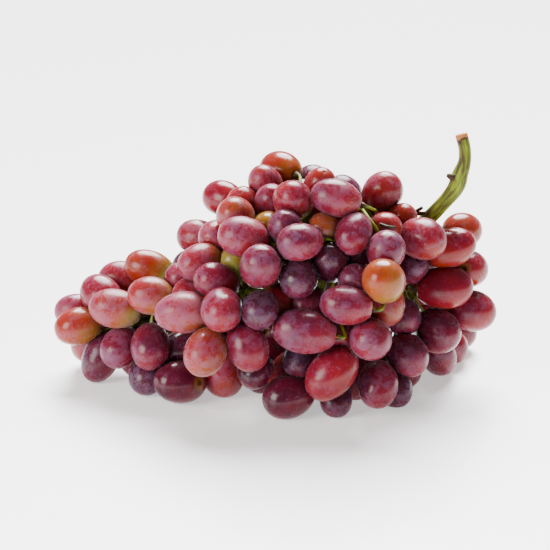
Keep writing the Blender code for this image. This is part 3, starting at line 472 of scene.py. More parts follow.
# Outward normal of each flat of a grape's faceted form, and its distance along that from the origin.
def hullPlanes(grape):
    tip, rings, root = hullCorners(grape)
    after = np.roll(rings, -1, axis=1)
    low, high, lowAfter = rings[1:].reshape(-1, 3), rings[:-1].reshape(-1, 3), after[1:].reshape(-1, 3)
    normals = np.vstack((np.cross(rings[0] - tip, after[0] - tip), np.cross(low - high, lowAfter - high),
                         np.cross(after[-1] - root, rings[-1] - root)))
    normals = normals / np.linalg.norm(normals, axis=1, keepdims=True)
    return normals, np.einsum("ni,ni->n", normals, np.vstack((rings[0], high, rings[-1])))


# Pairs of grapes whose faceted forms share a fair piece of their meeting place.
def fusedPairs(grapes):
    centres = np.array([grape.centre for grape in grapes])
    shapes = np.array([shapeMatrix(grape) for grape in grapes])
    first, second = nearPairs(centres, lay["pairReach"])
    gap, normal, point = contacts(shapes, centres, first, second)
    planes = [hullPlanes(grape) for grape in grapes]
    pairs, meetings = [], []
    for a, b, space, way, place in zip(first, second, gap, normal, point):
        if space < lay["pullReach"]:
            meetings.append((a, b, way, place))
        depth = min(np.min(planes[a][1] - planes[a][0] @ place), np.min(planes[b][1] - planes[b][0] @ place))
        if depth > lay["fusedDepth"]:
            pairs.append((a, b, place))
    return pairs, meetings


# Clusters that touch nothing else move against their nearest neighbour, the smallest first.
def gather(grapes):
    while True:
        pairs, _ = fusedPairs(grapes)
        group = np.arange(len(grapes))
        for a, b, _ in pairs:
            group[group == group[b]] = group[a]
        names, sizes = np.unique(group, return_counts=True)
        if len(names) == 1:
            return grapes
        moving = group == names[int(np.argmin(sizes))]
        centres = np.array([grape.centre for grape in grapes])
        shapes = np.array([shapeMatrix(grape) for grape in grapes])
        first, second = nearPairs(centres, 2 * lay["pairReach"])
        between = moving[first] != moving[second]
        first, second = first[between], second[between]
        gap, normal, _ = contacts(shapes, centres, first, second)
        best = int(np.argmin(gap))
        way = normal[best] if moving[first[best]] else -normal[best]
        shift = way * max(gap[best] + lay["touch"] + lay["clusterStep"], lay["clusterStep"])
        moved = np.round(centres + shift, lay["decimals"][1])
        grapes = [grape._replace(centre=place) if move else grape
                  for grape, move, place in zip(grapes, moving, moved)]


# Sprays of grapes and where each one's heart lies: x, y, z in mm
sprayHearts = {
    "tail_end": (-88, 0, 25),
    "tail_front": (-60, -22, 22),
    "tail_back": (-55, 22, 22),
    "left_front": (-28, -38, 32),
    "left_top": (-25, -6, 76),
    "left_back": (-25, 34, 42),
    "middle_low": (12, -48, 20),
    "middle_front": (0, -32, 58),
    "middle_top": (12, -4, 96),
    "right_front": (42, -28, 54),
    "right_top": (42, 2, 90),
    "right_back": (48, 36, 45),
    "end_front": (78, -4, 38),
    "end_top": (80, 12, 74),
    "end_back": (80, 32, 26),
}


# Each spray grows from the grape nearest its heart, over grapes that touch: near ones and small sprays first.
def shareOut(grapes, pairs):
    centres = np.array([grape.centre for grape in grapes])
    touching = {index: set() for index in range(len(grapes))}
    for a, b, _ in pairs:
        touching[a].add(int(b))
        touching[b].add(int(a))
    hearts = {name: np.array(place) * mm for name, place in sprayHearts.items()}
    shared, members = set(), {}
    for name, heart in hearts.items():
        order = np.argsort(np.linalg.norm(centres - heart, axis=1))
        first = next(int(index) for index in order if int(index) not in shared)
        shared.add(first)
        members[name] = [first]
    while len(shared) < len(grapes):
        costs = []
        for name, heart in hearts.items():
            for index in {b for a in members[name] for b in touching[a]} - shared:
                way = np.linalg.norm(centres[index] - heart)
                costs.append((way + lay["crowding"] * len(members[name]), name, index))
        _, name, index = min(costs)
        shared.add(index)
        members[name].append(index)
    return members


# How the stem branches to the grapes
branching = {
    "heart": 0.4,  # grapes further in have no stalk of their own
    "nodeGap": 0.3 * mm,  # between the stem and the grapes
    "cutStep": 0.8 * mm,  # along a stalk, between the places where its room is looked at
    "lateralRadius": (1.7 * mm, 1.2 * mm),
    "lateralShare": 0.8,  # of the way from the main axis to the middle of a spray's stem ends
    "pedicelRadius": 0.95 * mm,
    "spacing": 3.2 * mm,  # between the roots of neighbouring stalks
    "takenSpacings": 2.5,  # how many spacings further a place counts that another stalk has taken
    "stretch": 11 * mm,  # one point of a stalk to about this length
    "pointLimits": (2, 5),  # fewest and most
    "fineStep": 1.2 * mm,  # between the places where a stalk may root, or its room is measured
    "offFloor": 1 * mm,
    "bend": 7 * mm,  # how far a stalk's curve leans on its first aim
    "clear": 0.7 * mm,  # room that a stalk asks for beside a grape
    "bendRounds": 40,
    "bendPush": 0.6,  # of what a stalk lacks in room, given each round
    "bendSmooth": 0.12,  # of the way to the middle of its neighbours, that each point takes
    "shortest": 5 * mm,  # stalk
    "kneeLength": 2.5 * mm,  # how far a stalk runs straight before it bends
    "pedicelDeepest": 2.2 * mm,  # a stalk that would cut deeper than this into a grape is left out
    "routeSteps": 5,  # points of the smooth curve to each stretch of the route
    "axisStride": 4,  # points of the smooth curve to each point of the rachis as built
    "entryStep": 40,  # where the axis goes in among the grapes
    "forkBefore": 4,  # points of the axis from a lateral's root to the place nearest its spray
    "hubBeyond": 4 * mm,  # how far from its stem end each grape asks for its lateral
    "bareEnd": 2,  # points at an end that carry no stalk, or where a stalk needs no room
    "slack": 1e-6,  # lets a flat count as met that only rounding keeps away
}


# The place that lies a little beyond a grape's stem end.
def stemEnd(grape, extra):
    return grape.centre - grape.axis * (grape.halfLength * lay["facetSwell"] + extra)


# The pairs of grapes that still hold together once both are cut.
def uncutPairs(pairs, cuts):
    kept = []
    for a, b, meeting in pairs:
        depths = [np.dot(normal, place - meeting) for place, normal in cuts[a] + cuts[b]]
        if min(depths, default=farOff) > lay["fusedDepth"]:
            kept.append((a, b, meeting))
    return kept


# Rough gap between balls and ellipsoids, and the way out of each ellipsoid, in first order.
def spaceTo(points, radius, centres, inverses):
    away = points[:, None] - centres
    scaled = np.einsum("gij,pgj->pgi", inverses, away)
    root = np.sqrt(np.maximum(np.einsum("pgi,pgi->pg", away, scaled), tinySquare))
    slope = scaled / root[..., None]
    steep = np.linalg.norm(slope, axis=2)
    return (root - 1) / steep - radius, slope / steep[..., None]


# A stalk from start, first along aim, to goal, pushed out of the grapes and smoothed.
def clearRoute(start, aim, goal, radius, centres, inverses):
    length = np.linalg.norm(goal - start)
    fewest, most = branching["pointLimits"]
    count = min(most, round(length / branching["stretch"]) + fewest)
    knee = start + aim * branching["kneeLength"]
    t = np.linspace(0, 1, count)[:, None]
    handle = knee + aim * min(branching["bend"], length / 2)
    line = (1 - t) ** 2 * knee + 2 * t * (1 - t) * handle + t ** 2 * goal
    for _ in range(branching["bendRounds"] if count > fewest else 0):
        inner = line[1:-1]
        gap, way = spaceTo(inner, radius + branching["clear"], centres, inverses)
        nearest = np.argmin(gap, axis=1)
        row = np.arange(len(inner))
        push = np.maximum(-gap[row, nearest], 0)[:, None] * way[row, nearest]
        middle = (line[:-2] + line[2:]) / 2
        line[1:-1] = inner + push * branching["bendPush"] + (middle - inner) * branching["bendSmooth"]
        line[:, 2] = np.maximum(line[:, 2], radius + branching["offFloor"])
    return np.vstack((start, np.round(line, lay["decimals"][1])))


# The line again, with a point at least every step.
def finePoints(line, step):
    parts = [line[:1]]
    for a, b in zip(line, line[1:]):
        count = max(1, int(math.ceil(np.linalg.norm(b - a) / step)))
        parts.append(a + (b - a) * (np.arange(1, count + 1) / count)[:, None])
    return np.vstack(parts)


# The rachis, a lateral to each spray, and a pedicel to each grape that a stalk reaches and keeps whole.
def stemRoutes(grapes, members, pairs):
    centres = np.array([grape.centre for grape in grapes])
    inverses = np.linalg.inv(np.array([shapeMatrix(grape) for grape in grapes]))
    main = rachisPoints()
    down, radii = zip(*rachisRadii)
    widths = np.interp(np.arange(len(main)) / branching["routeSteps"], down, radii) * mm
    picked = np.append(np.arange(0, len(main) - 1, branching["axisStride"]), len(main) - 1)
    routes = [("rachis", main[picked], widths[picked], None)]
    for line, radii in [(bud, budRadii)] + [(line, twigletRadii) for line in twiglets]:
        routes.append(("twig", placesInView(line), np.linspace(*radii, len(line)), None))
    among = main[branching["entryStep"]:]
    bare = branching["bareEnd"]
    hubRoom = branching["lateralRadius"][1] + branching["clear"]
    stalkRadius = branching["pedicelRadius"]
    roots = []
    for name, spray in members.items():
        ends = np.array([stemEnd(grapes[index], branching["hubBeyond"]) for index in spray])
        middle = ends.mean(axis=0)
        nearest = int(np.argmin(np.linalg.norm(among - middle, axis=1)))
        root = among[max(nearest - branching["forkBefore"], 0)]
        hub = root + (middle - root) * branching["lateralShare"]
        for _ in range(branching["bendRounds"]):
            gap, way = spaceTo(hub[None], hubRoom, centres, inverses)
            nearestGrape = int(np.argmin(gap[0]))
            hub = hub + max(-gap[0, nearestGrape], 0) * way[0, nearestGrape] * branching["bendPush"]
        aim = (hub - root) / np.linalg.norm(hub - root)
        line = clearRoute(root, aim, hub, branching["lateralRadius"][0], centres, inverses)
        routes.append(("lateral", line, np.linspace(*branching["lateralRadius"], len(line)), None))
        carriers = np.vstack((finePoints(line, branching["fineStep"])[bare:], among[bare:-bare]))
        for index in spray:
            if fullness(centres[index]) < branching["heart"] and not grapes[index].shown:
                continue
            start = stemEnd(grapes[index], branching["nodeGap"])
            far = np.linalg.norm(carriers - start, axis=1)
            taken = [np.linalg.norm(carriers - root, axis=1) < branching["spacing"] for root in roots]
            detour = branching["takenSpacings"] * branching["spacing"]
            far = far + detour * np.any(taken, axis=0) if taken else far
            goal = carriers[int(np.argmin(np.where(far > branching["shortest"], far, farOff)))]
            stalk = clearRoute(start, -grapes[index].axis, goal, stalkRadius, centres, inverses)
            beyond = finePoints(stalk, branching["fineStep"])[bare:]
            gap = spaceTo(beyond, stalkRadius, centres, inverses)[0]
            route = ("pedicel", stalk, np.full(len(stalk), stalkRadius), index)
            kept = uncutPairs(pairs, stemCuts(grapes, [route]))
            if gap.min() > -branching["pedicelDeepest"] and len(kept) == len(pairs):
                roots.append(goal)
                routes.append(route)
    return routes


# Flats that keep the grapes off the stem: one plane for each place where a stalk comes close.
def stemCuts(grapes, routes):
    centres = np.array([grape.centre for grape in grapes])
    shapes = np.array([shapeMatrix(grape) for grape in grapes])
    inverses = np.linalg.inv(shapes) / lay["facetSwell"] ** 2
    cuts = {index: [] for index in range(len(grapes))}
    ownStretch = round(2 * branching["kneeLength"] / branching["cutStep"])
    close = 2 * branching["nodeGap"]
    for _, line, widths, own in routes:
        points = finePoints(line, branching["cutStep"])
        radius = float(np.max(widths))
        gap, way = spaceTo(points, radius, centres, inverses)
        for index in range(len(grapes)):
            start = ownStretch if index == own else 0
            spots = [spot for spot in range(start, len(points)) if gap[spot, index] < close]
            spots.sort(key=lambda spot: gap[spot, index])
            placed = []
            for spot in spots:
                point = points[spot]
                room = radius + branching["nodeGap"] - branching["slack"]
                if any(np.dot(normal, point - place) >= room for place, normal in placed):
                    continue
                normal = way[spot, index]
                place = point - normal * (radius + branching["nodeGap"])
                placed.append((place, normal))
            cuts[index] += placed
    return cuts


# The finer form of a grape
grapeForm = {
    "around": 48,  # points around it, and rings along it
    "along": 34,
    "barrel": 0.93,  # below 1 fills the shoulders out
    "egg": (-0.03, 0.06),  # how much wider one end is than the other, least and most
    "bunching": 0.08,  # how far the rings crowd towards both ends
    "lump": 0.009,  # how strong its unevenness is
    "alongLump": 0.5,  # the share of the lumps that also lengthens the grape
    "waves": (4, 1.6, 6.3),  # the lumps: how many, how close, and the spread of their starts
    "dimple": 0.9 * mm,  # where the stalk goes in
    "dimpleWidth": 0.2,  # radians from the stem end
    "rim": 0.25 * mm,  # raised round the dimple
    "rimPlace": 2.1,  # in widths of the dimple
    "pit": 0.18 * mm,  # at the blossom end
    "pitWidth": 0.09,  # radians
    "softness": 0.3 * mm,  # how gently a grape bends where it meets another
    "glowAndUnripeSide": (0.5, -0.4, -0.77),  # the lower front side of each grape, one fixed way in the scene: a painted glow of light through the flesh there, with skin that ripened in the shade
    "fillerRipe": (0.5, 0.92),
    "fillerBloom": (0.3, 0.65),
    "fillerGlow": 0.2,
    "seed": 5,
}


# Grapes that show the scar of a lost stalk: number, and where on the grape it lies (right, up, near).
bareScars = {12: (0.86, -0.02, 0.5)}


# A grape is x = W r(v) cos u, y = W r(v) sin u, z = L cos v, with r(v) = sin(v)^barrel * (1 + egg cos v),
# times 1 + a few low waves for its unevenness. A dimple and its rim lower and raise the stem end, and a
# plane that another grape or a stalk sets is met as a soft limit: s - k log(1 + exp(s / k)), s beyond it.
def grapeSurface(grape, planes, dice, scar=None):
    columns, rows = grapeForm["around"], grapeForm["along"]
    u = np.arange(columns) * 2 * math.pi / columns
    t = np.arange(1, rows) / rows
    v = math.pi * (t - grapeForm["bunching"] * np.sin(2 * math.pi * t))
    v = np.concatenate(([0], np.repeat(v, columns), [math.pi]))
    u = np.concatenate(([0], np.tile(u, rows - 1), [0]))
    ball = np.stack((np.sin(v) * np.cos(u), np.sin(v) * np.sin(u), np.cos(v)), axis=1)
    count, close, starts = grapeForm["waves"]
    waves = dice.normal(0, close, (count, 3))
    lumps = 1 + grapeForm["lump"] * np.sin(ball @ waves.T + dice.uniform(0, starts, count)).sum(axis=1)
    egg = 1 + dice.uniform(*grapeForm["egg"]) * np.cos(v)
    out = np.sin(v) ** grapeForm["barrel"] * egg * lumps * grape.halfWidth
    stretch = lumps * grapeForm["alongLump"] + (1 - grapeForm["alongLump"])
    x, y, z = out * np.cos(u), out * np.sin(u), np.cos(v) * grape.halfLength * stretch
    back = (math.pi - v) / grapeForm["dimpleWidth"]
    z = z + grapeForm["dimple"] * np.exp(-back ** 2)
    z = z - grapeForm["rim"] * np.exp(-((back - grapeForm["rimPlace"]) ** 2))
    z = z - grapeForm["pit"] * np.exp(-(v / grapeForm["pitWidth"]) ** 2)
    local = np.stack((x, y, z), axis=1)
    turn = np.array(Vector(grape.axis).to_track_quat("Z", "Y").to_matrix())
    points = local @ turn.T + grape.centre
    soft = grapeForm["softness"]
    for place, way in planes:
        beyond = (points - place) @ way / soft
        points = points - (soft * np.logaddexp(0, beyond))[:, None] * way
    outward = points - grape.centre
    heel = (math.pi - v) * grape.halfWidth / mm
    if scar:
        way = np.array(scar) @ np.array((viewRight, viewUp, viewNear))
        cosine = outward @ way / np.linalg.norm(way) / np.linalg.norm(outward, axis=1)
        heel = np.arccos(np.clip(cosine, -1, 1)) * grape.halfWidth / mm
    marks = {name: np.full(len(points), value) for name, value in zip(("ripe", "bloom", "glow"), grape.looks)}
    marks.update({
        "axial": np.cos(v), "crown": v * grape.halfWidth / mm, "heel": heel,
        "flesh": local + dice.uniform(-1, 1, 3),
        # how far each point lies towards the side where the glow of light through the flesh is painted
        "under": outward @ np.array(grapeForm["glowAndUnripeSide"]) / grape.halfWidth,
    })
    return points, gridFaces(rows - 1, columns), marks


# Faces of a grid of rings, each ring closed on itself, and fans to the first and the last point of all.
def gridFaces(rings, columns):
    ring = np.arange(rings - 1)[:, None] * columns + 1
    column = np.arange(columns)
    after = (column + 1) % columns
    quads = np.stack((ring + column, ring + columns + column, ring + columns + after, ring + after), axis=-1)
    last = 1 + (rings - 1) * columns
    top = np.stack((np.zeros(columns, int), 1 + column, 1 + after), axis=1)
    foot = np.stack((np.full(columns, last + columns), last + after, last + column), axis=1)
    return quads.reshape(-1, 4), np.vstack((top, foot))


# Joins surfaces into one mesh with their marks as point attributes, and shades it smooth.
def addPiece(name, surfaces, material):
    points = np.vstack([surface[0] for surface in surfaces]) + centring
    starts = np.cumsum([0] + [len(surface[0]) for surface in surfaces[:-1]])
    quads = np.vstack([surface[1][0] + start for surface, start in zip(surfaces, starts)])
    corners = np.vstack([surface[1][1] + start for surface, start in zip(surfaces, starts)])
    mesh = bpy.data.meshes.new(name)
    mesh.vertices.add(len(points))
    mesh.vertices.foreach_set("co", points.astype(np.float32).ravel())
    mesh.loops.add(quads.size + corners.size)
    mesh.loops.foreach_set("vertex_index", np.concatenate((quads.ravel(), corners.ravel())).astype(np.int32))
    mesh.polygons.add(len(quads) + len(corners))
    sizes = np.concatenate((np.full(len(quads), 4), np.full(len(corners), 3)))
    mesh.polygons.foreach_set("loop_start", (np.cumsum(sizes) - sizes).astype(np.int32))
    for mark in surfaces[0][2]:
        values = np.concatenate([surface[2][mark] for surface in surfaces]).astype(np.float32)
        kind = "FLOAT_VECTOR" if values.ndim == 2 else "FLOAT"
        layer = mesh.attributes.new(mark, kind, "POINT")
        layer.data.foreach_set("vector" if values.ndim == 2 else "value", values.ravel())
    mesh.update(calc_edges=True)
    mesh.shade_smooth()
    mesh.materials.append(material)
    thing = bpy.data.objects.new(name, mesh)
    bpy.context.scene.collection.objects.link(thing)
    return thing


# The finer form of the stem
stemForm = {
    "rachisSides": 28,
    "rachisSmooth": 3,  # points of the finer curve to each point of the route
    "lateralSides": 12,
    "stalkSides": 10,
    "smooth": 7,  # and the same for every other stalk
    "firstSide": (0.31, 0.17, 0.93),  # any way that no stalk runs along
    "ridge": 0.05,
    "ridgeLength": 9 * mm,
    "ridges": ((1.0, 2, 0.7), (0.7, 3, -0.5), (0.8, 0, 2.3), (0.5, 5, 0.2)),  # strength, waves around, along
    "starts": 6.3,  # spread of where the ridges start
    "grainStretch": 7,  # streaks of the bark are this much longer than wide
    # dryness (0 green, 0.5 brown, 1 and more tan) down the route of the axis, and of the other kinds
    "axisDry": ((0, 0.15, 0.4, 4, 7, 17), (1.3, 1.1, 0.25, 0.2, 0.35, 0.2)),
    "kindDry": {"lateral": 0.15, "twig": 0.7},
    "hollow": 0.8 * mm,  # of the cut end
    # the bare strip at the cut: all torn down to the first height and not past the second, not torn
    # right of the first place and all torn left of the second, and how dry it is
    "tornDown": (2 * mm, 7 * mm),
    "tornLeft": (-0.48 * mm, 1.12 * mm),
    "tornDry": 1.35,
    # a grape's stalk with its cap, in mm from the grape and from its root, and how dry it is
    "inside": 1.0 * mm,  # how far its end stands inside its grape's tip
    "capRadii": ((0, 1.3, 2.1, 3.0, 4.5, 40), (1.1, 1.75, 1.45, 0.95, 0.72, 0.8)),
    "rootRadii": ((0, 3), (1.15, 0.7)),
    "capDry": ((0, 2.4, 4.0, 8.0), (0.75, 0.6, 0.2, 0.12)),
    "seed": 8,
}


# How far along a line each of its points is.
def lengthAlong(line):
    return np.concatenate(([0], np.cumsum(np.linalg.norm(np.diff(line, axis=0), axis=1))))


# A tube is p(s, a) = c(s) + R(s) (1 + ridges) (cos a N + sin a B), with N and B carried along without
# twisting. Each end closes with a fan to its middle, which the hollow sinks at the first one.
def tubeSurface(line, widths, sides, dry, dice, hollow=0.0):
    ways = np.gradient(line, axis=0)
    ways = ways / np.linalg.norm(ways, axis=1, keepdims=True)
    side = np.cross(ways[0], stemForm["firstSide"])
    frames = []
    for way in ways:
        side = side - way * np.dot(side, way)
        side = side / np.linalg.norm(side)
        frames.append((side, np.cross(way, side)))
    frames = np.array(frames)
    a = np.arange(sides) * 2 * math.pi / sides
    along = lengthAlong(line)[:, None]
    starts = dice.uniform(0, stemForm["starts"], len(stemForm["ridges"]))
    s = along / stemForm["ridgeLength"]
    ridges = sum(strength * np.sin(around * a + start + down * s)
                 for (strength, around, down), start in zip(stemForm["ridges"], starts))
    radius = widths[:, None] * (1 + stemForm["ridge"] * ridges)
    x, y = radius * np.cos(a), radius * np.sin(a)
    rings = line[:, None] + x[..., None] * frames[:, :1] + y[..., None] * frames[:, 1:]
    points = np.vstack((line[0] + ways[0] * hollow, rings.reshape(-1, 3), line[-1]))
    down = np.broadcast_to(along / stemForm["grainStretch"], radius.shape)
    grain = np.stack((x, y, down), axis=-1).reshape(-1, 3)
    grain = np.vstack((grain[:1] * (0, 0, 1), grain, grain[-1:] * (0, 0, 1))) + dice.uniform(-1, 1, 3)
    dry = np.concatenate((dry[:1], np.repeat(dry, sides), dry[-1:]))
    quads, corners = gridFaces(len(line), sides)
    return points, (quads[:, ::-1], corners[:, ::-1]), {"dry": dry, "grain": grain}


# Short bare stalks seen in the gaps between the front grapes: radius in mm, how dry, and the route as
# place across, place up and depth in the picture, in mm.
seenStalks = (
    (1.3, 0.5, ((-68, 32, 8), (-62, 30.5, 10), (-55, 33, 8))),
    (1.4, 0.35, ((-67, 26.5, 8), (-60, 27, 10), (-53, 29, 8))),
    (1.6, 0.6, ((-65, 29.5, 6), (-60, 29, 7), (-54, 29.5, 6))),
    (1.6, 0.5, ((-55, 22, 7), (-51, 24.3, 8), (-47, 22.5, 7))),
    (1.4, 0.4, ((-68, 23.8, 5), (-64.3, 25.2, 6), (-61, 25, 5))),
    (1.5, 0.2, ((-17, 42, 23), (-14, 40.5, 24), (-12, 42, 23))),
    (1.5, 0.1, ((-18, 47, 24), (-13, 42.5, 27), (-6, 42.5, 27), (0, 45, 25))),
    (1.2, 0.2, ((-16, 39, 26), (-14.8, 45, 28), (-12, 50, 24))),
    (1.6, 0.4, ((-15, 44, 22), (-10, 44.3, 22), (-5, 44.5, 22))),
    (1.8, 0.1, ((11.5, 74, 24), (15.7, 77.6, 26), (19.5, 83, 24))),
    (1.3, 0.3, ((14.5, 73, 22), (18, 78, 23), (21, 80, 22))),
    (0.9, 0.05, ((41, 82, 38), (46, 75, 47), (50, 69, 44))),
    (0.7, 0.65, ((50, 74.2, 45), (53.5, 73, 48), (57, 72.6, 46))),
)


# The stem as tubes: the thick main axis with its torn end, the side branches, and each grape's stalk,
# whose radius follows its cap and neck from the grape on and swells again towards its root.
def stemSurfaces(grapes, routes):
    dice = np.random.default_rng(stemForm["seed"])
    surfaces = []
    main = smoothLine(rachisPoints(), stemForm["rachisSmooth"])
    down, radii = zip(*rachisRadii)
    steps = np.arange(len(main)) / (branching["routeSteps"] * stemForm["rachisSmooth"])
    widths = np.interp(steps, down, radii) * mm
    dry = np.interp(steps, *stemForm["axisDry"])
    surfaces.append(tubeSurface(main, widths, stemForm["rachisSides"], dry, dice, stemForm["hollow"]))
    points, _, marks = surfaces[0]
    down, left = (main[0] - points) @ viewUp, (main[0] - points) @ viewRight
    torn = np.interp(down, stemForm["tornDown"], (1, 0)) * np.interp(left, stemForm["tornLeft"], (0, 1))
    marks["dry"] = np.maximum(marks["dry"], stemForm["tornDry"] * torn)
    for kind, line, widths, own in routes[1:]:
        line = np.array(line)
        if kind == "pedicel":
            grape = grapes[own]
            line[0] = grape.centre - grape.axis * (grape.halfLength - stemForm["inside"])
            line = smoothLine(line, stemForm["smooth"])
            away = lengthAlong(line) / mm
            cap = np.interp(away, *stemForm["capRadii"])
            foot = np.interp(away[-1] - away, *stemForm["rootRadii"])
            dry = np.interp(away, *stemForm["capDry"])
            surfaces.append(tubeSurface(line, np.maximum(cap, foot) * mm, stemForm["stalkSides"], dry, dice))
        else:
            line = smoothLine(line, stemForm["smooth"])
            widths = np.interp(np.linspace(0, 1, len(line)), np.linspace(0, 1, len(widths)), widths)
            dry = np.full(len(line), stemForm["kindDry"][kind])
            surfaces.append(tubeSurface(line, widths, stemForm["lateralSides"], dry, dice))
    for radius, dry, line in seenStalks:
        line = smoothLine(placesInView(line), stemForm["smooth"])
        widths = np.full(len(line), radius * mm)
        surfaces.append(tubeSurface(line, widths, stemForm["stalkSides"], np.full(len(line), dry), dice))
    return surfaces


# Turns an sRGB hex colour to linear values: c / 12.92 below 0.04045, else ((c + 0.055) / 1.055)^2.4.
def linear(hexColour):
    values = np.array([int(hexColour[start:start + 2], 16) for start in (1, 3, 5)]) / 255
    values = np.where(values <= 0.04045, values / 12.92, ((values + 0.055) / 1.055) ** 2.4)
    return (*(float(value) for value in values), 1.0)


# Adds a node, sets its sockets or settings by name or number, and links sources to its sockets.
def addNode(tree, kind, settings=None, links=None):
    node = tree.nodes.new(kind)
    for name, value in (settings or {}).items():
        if isinstance(name, int) or name in node.inputs:
            node.inputs[name].default_value = value
        else:
            setattr(node, name, value)
    for name, source in (links or {}).items():
        tree.links.new(source, node.inputs[name])
    return node


# A new material and its node tree, emptied.
def newMaterial(name):
    material = bpy.data.materials.new(name)
    material.use_nodes = True
    tree = material.node_tree
    tree.nodes.clear()
    return material, tree


# Sets the stops of a colour ramp: places from 0 to 1, and hex colours.
def setStops(ramp, colours):
    stops = ramp.color_ramp.elements
    for place, _ in colours[1:-1]:
        stops.new(place)
    for stop, (place, colour) in zip(stops, colours):
        stop.position = place
        stop.color = linear(colour)


# Skin of a red table grape: a thin smooth skin over clear flesh, with a rubbed coat of natural wax.
# The wax greys it and dulls it in patches, and where it is rubbed off the skin shines.
waxedSkin = {
    "ripeColours": (  # from pale green over orange and crimson to maroon
        (0.0, "#8c9c46"), (0.15, "#845c16"), (0.3, "#88400f"), (0.42, "#842410"), (0.55, "#7e101c"),
        (0.68, "#6a0820"), (0.8, "#520a24"), (0.92, "#3c0a1e"), (1.0, "#280816"),
    ),
    "blush": {"Scale": 1 / (11 * mm), "Detail": 3.0, "Roughness": 0.55},  # slow changes of ripeness
    "blushShift": 0.42,
    "stalkReach": (0.35, -0.95),  # along the grape, where its amber stalk end starts and where it is full
    "stalkShift": 0.36,
    "glowAndUnripeShift": 0.24,  # how much less ripe, more amber, that side is painted: painted glow of light through the flesh, and skin that ripened in the shade
    "glowAndUnripeShare": (0.35, 0.5),  # of that painted glow, what a full amber glow adds, and what every grape has
    "specks": {"Scale": 1 / (0.8 * mm), "Detail": 2.0, "Roughness": 0.6},  # pores
    "speckRange": (0.6, 0.78, 0.22),  # of the noise, from none to full, and their share there
    "speckColour": "#c07a55",
    "patches": {"Scale": 1 / (4.5 * mm), "Detail": 8.0, "Roughness": 0.7, "Distortion": 0.3},  # of wax
    "bloomLift": 0.42,  # how far a full bloom raises the patches
    "waxRange": (0.52, 0.9),
    "rubs": {"Scale": 1 / (6 * mm), "Detail": 8.0, "Roughness": 0.72, "Distortion": 0.5},
    "rubRange": (0.46, 0.5, 0.2),  # of the noise, from rubbed to whole, and the wax left where rubbed
    "grainRange": (0.3, 0.7, 0.75),  # the same for the fine grain of the wax
    "waxMost": 0.26,
    "waxColour": "#8c729c",
    "scar": ("crown", 0.62, 0.3, 0.6, "#4b2f1c"),  # blossom scar: mark, from and full within (mm), share
    "collar": ("heel", 4.4, 2.2, 0.6, "#8f5f1e"),  # amber skin round the stalk
    "hole": ("heel", 1.7, 1.1, 0.85, "#2b1a10"),  # brown scar that the stalk leaves
    "roughness": {"To Min": 0.2, "To Max": 0.48},  # of bare and of waxed skin
    "grainHeight": 0.4,  # of the grain against the patches
    "bump": {"Strength": 0.12, "Distance": 0.3 * mm},
    "flesh": {  # clear and full of juice: light goes some millimetres in, and red furthest
        "IOR": 1.4, "Specular IOR Level": 0.38, "Subsurface Weight": 0.3, "Subsurface Scale": 4 * mm,
        "Subsurface Radius": (1.0, 0.35, 0.3), "Sheen Weight": 0.05, "Sheen Roughness": 0.4,
    },
}


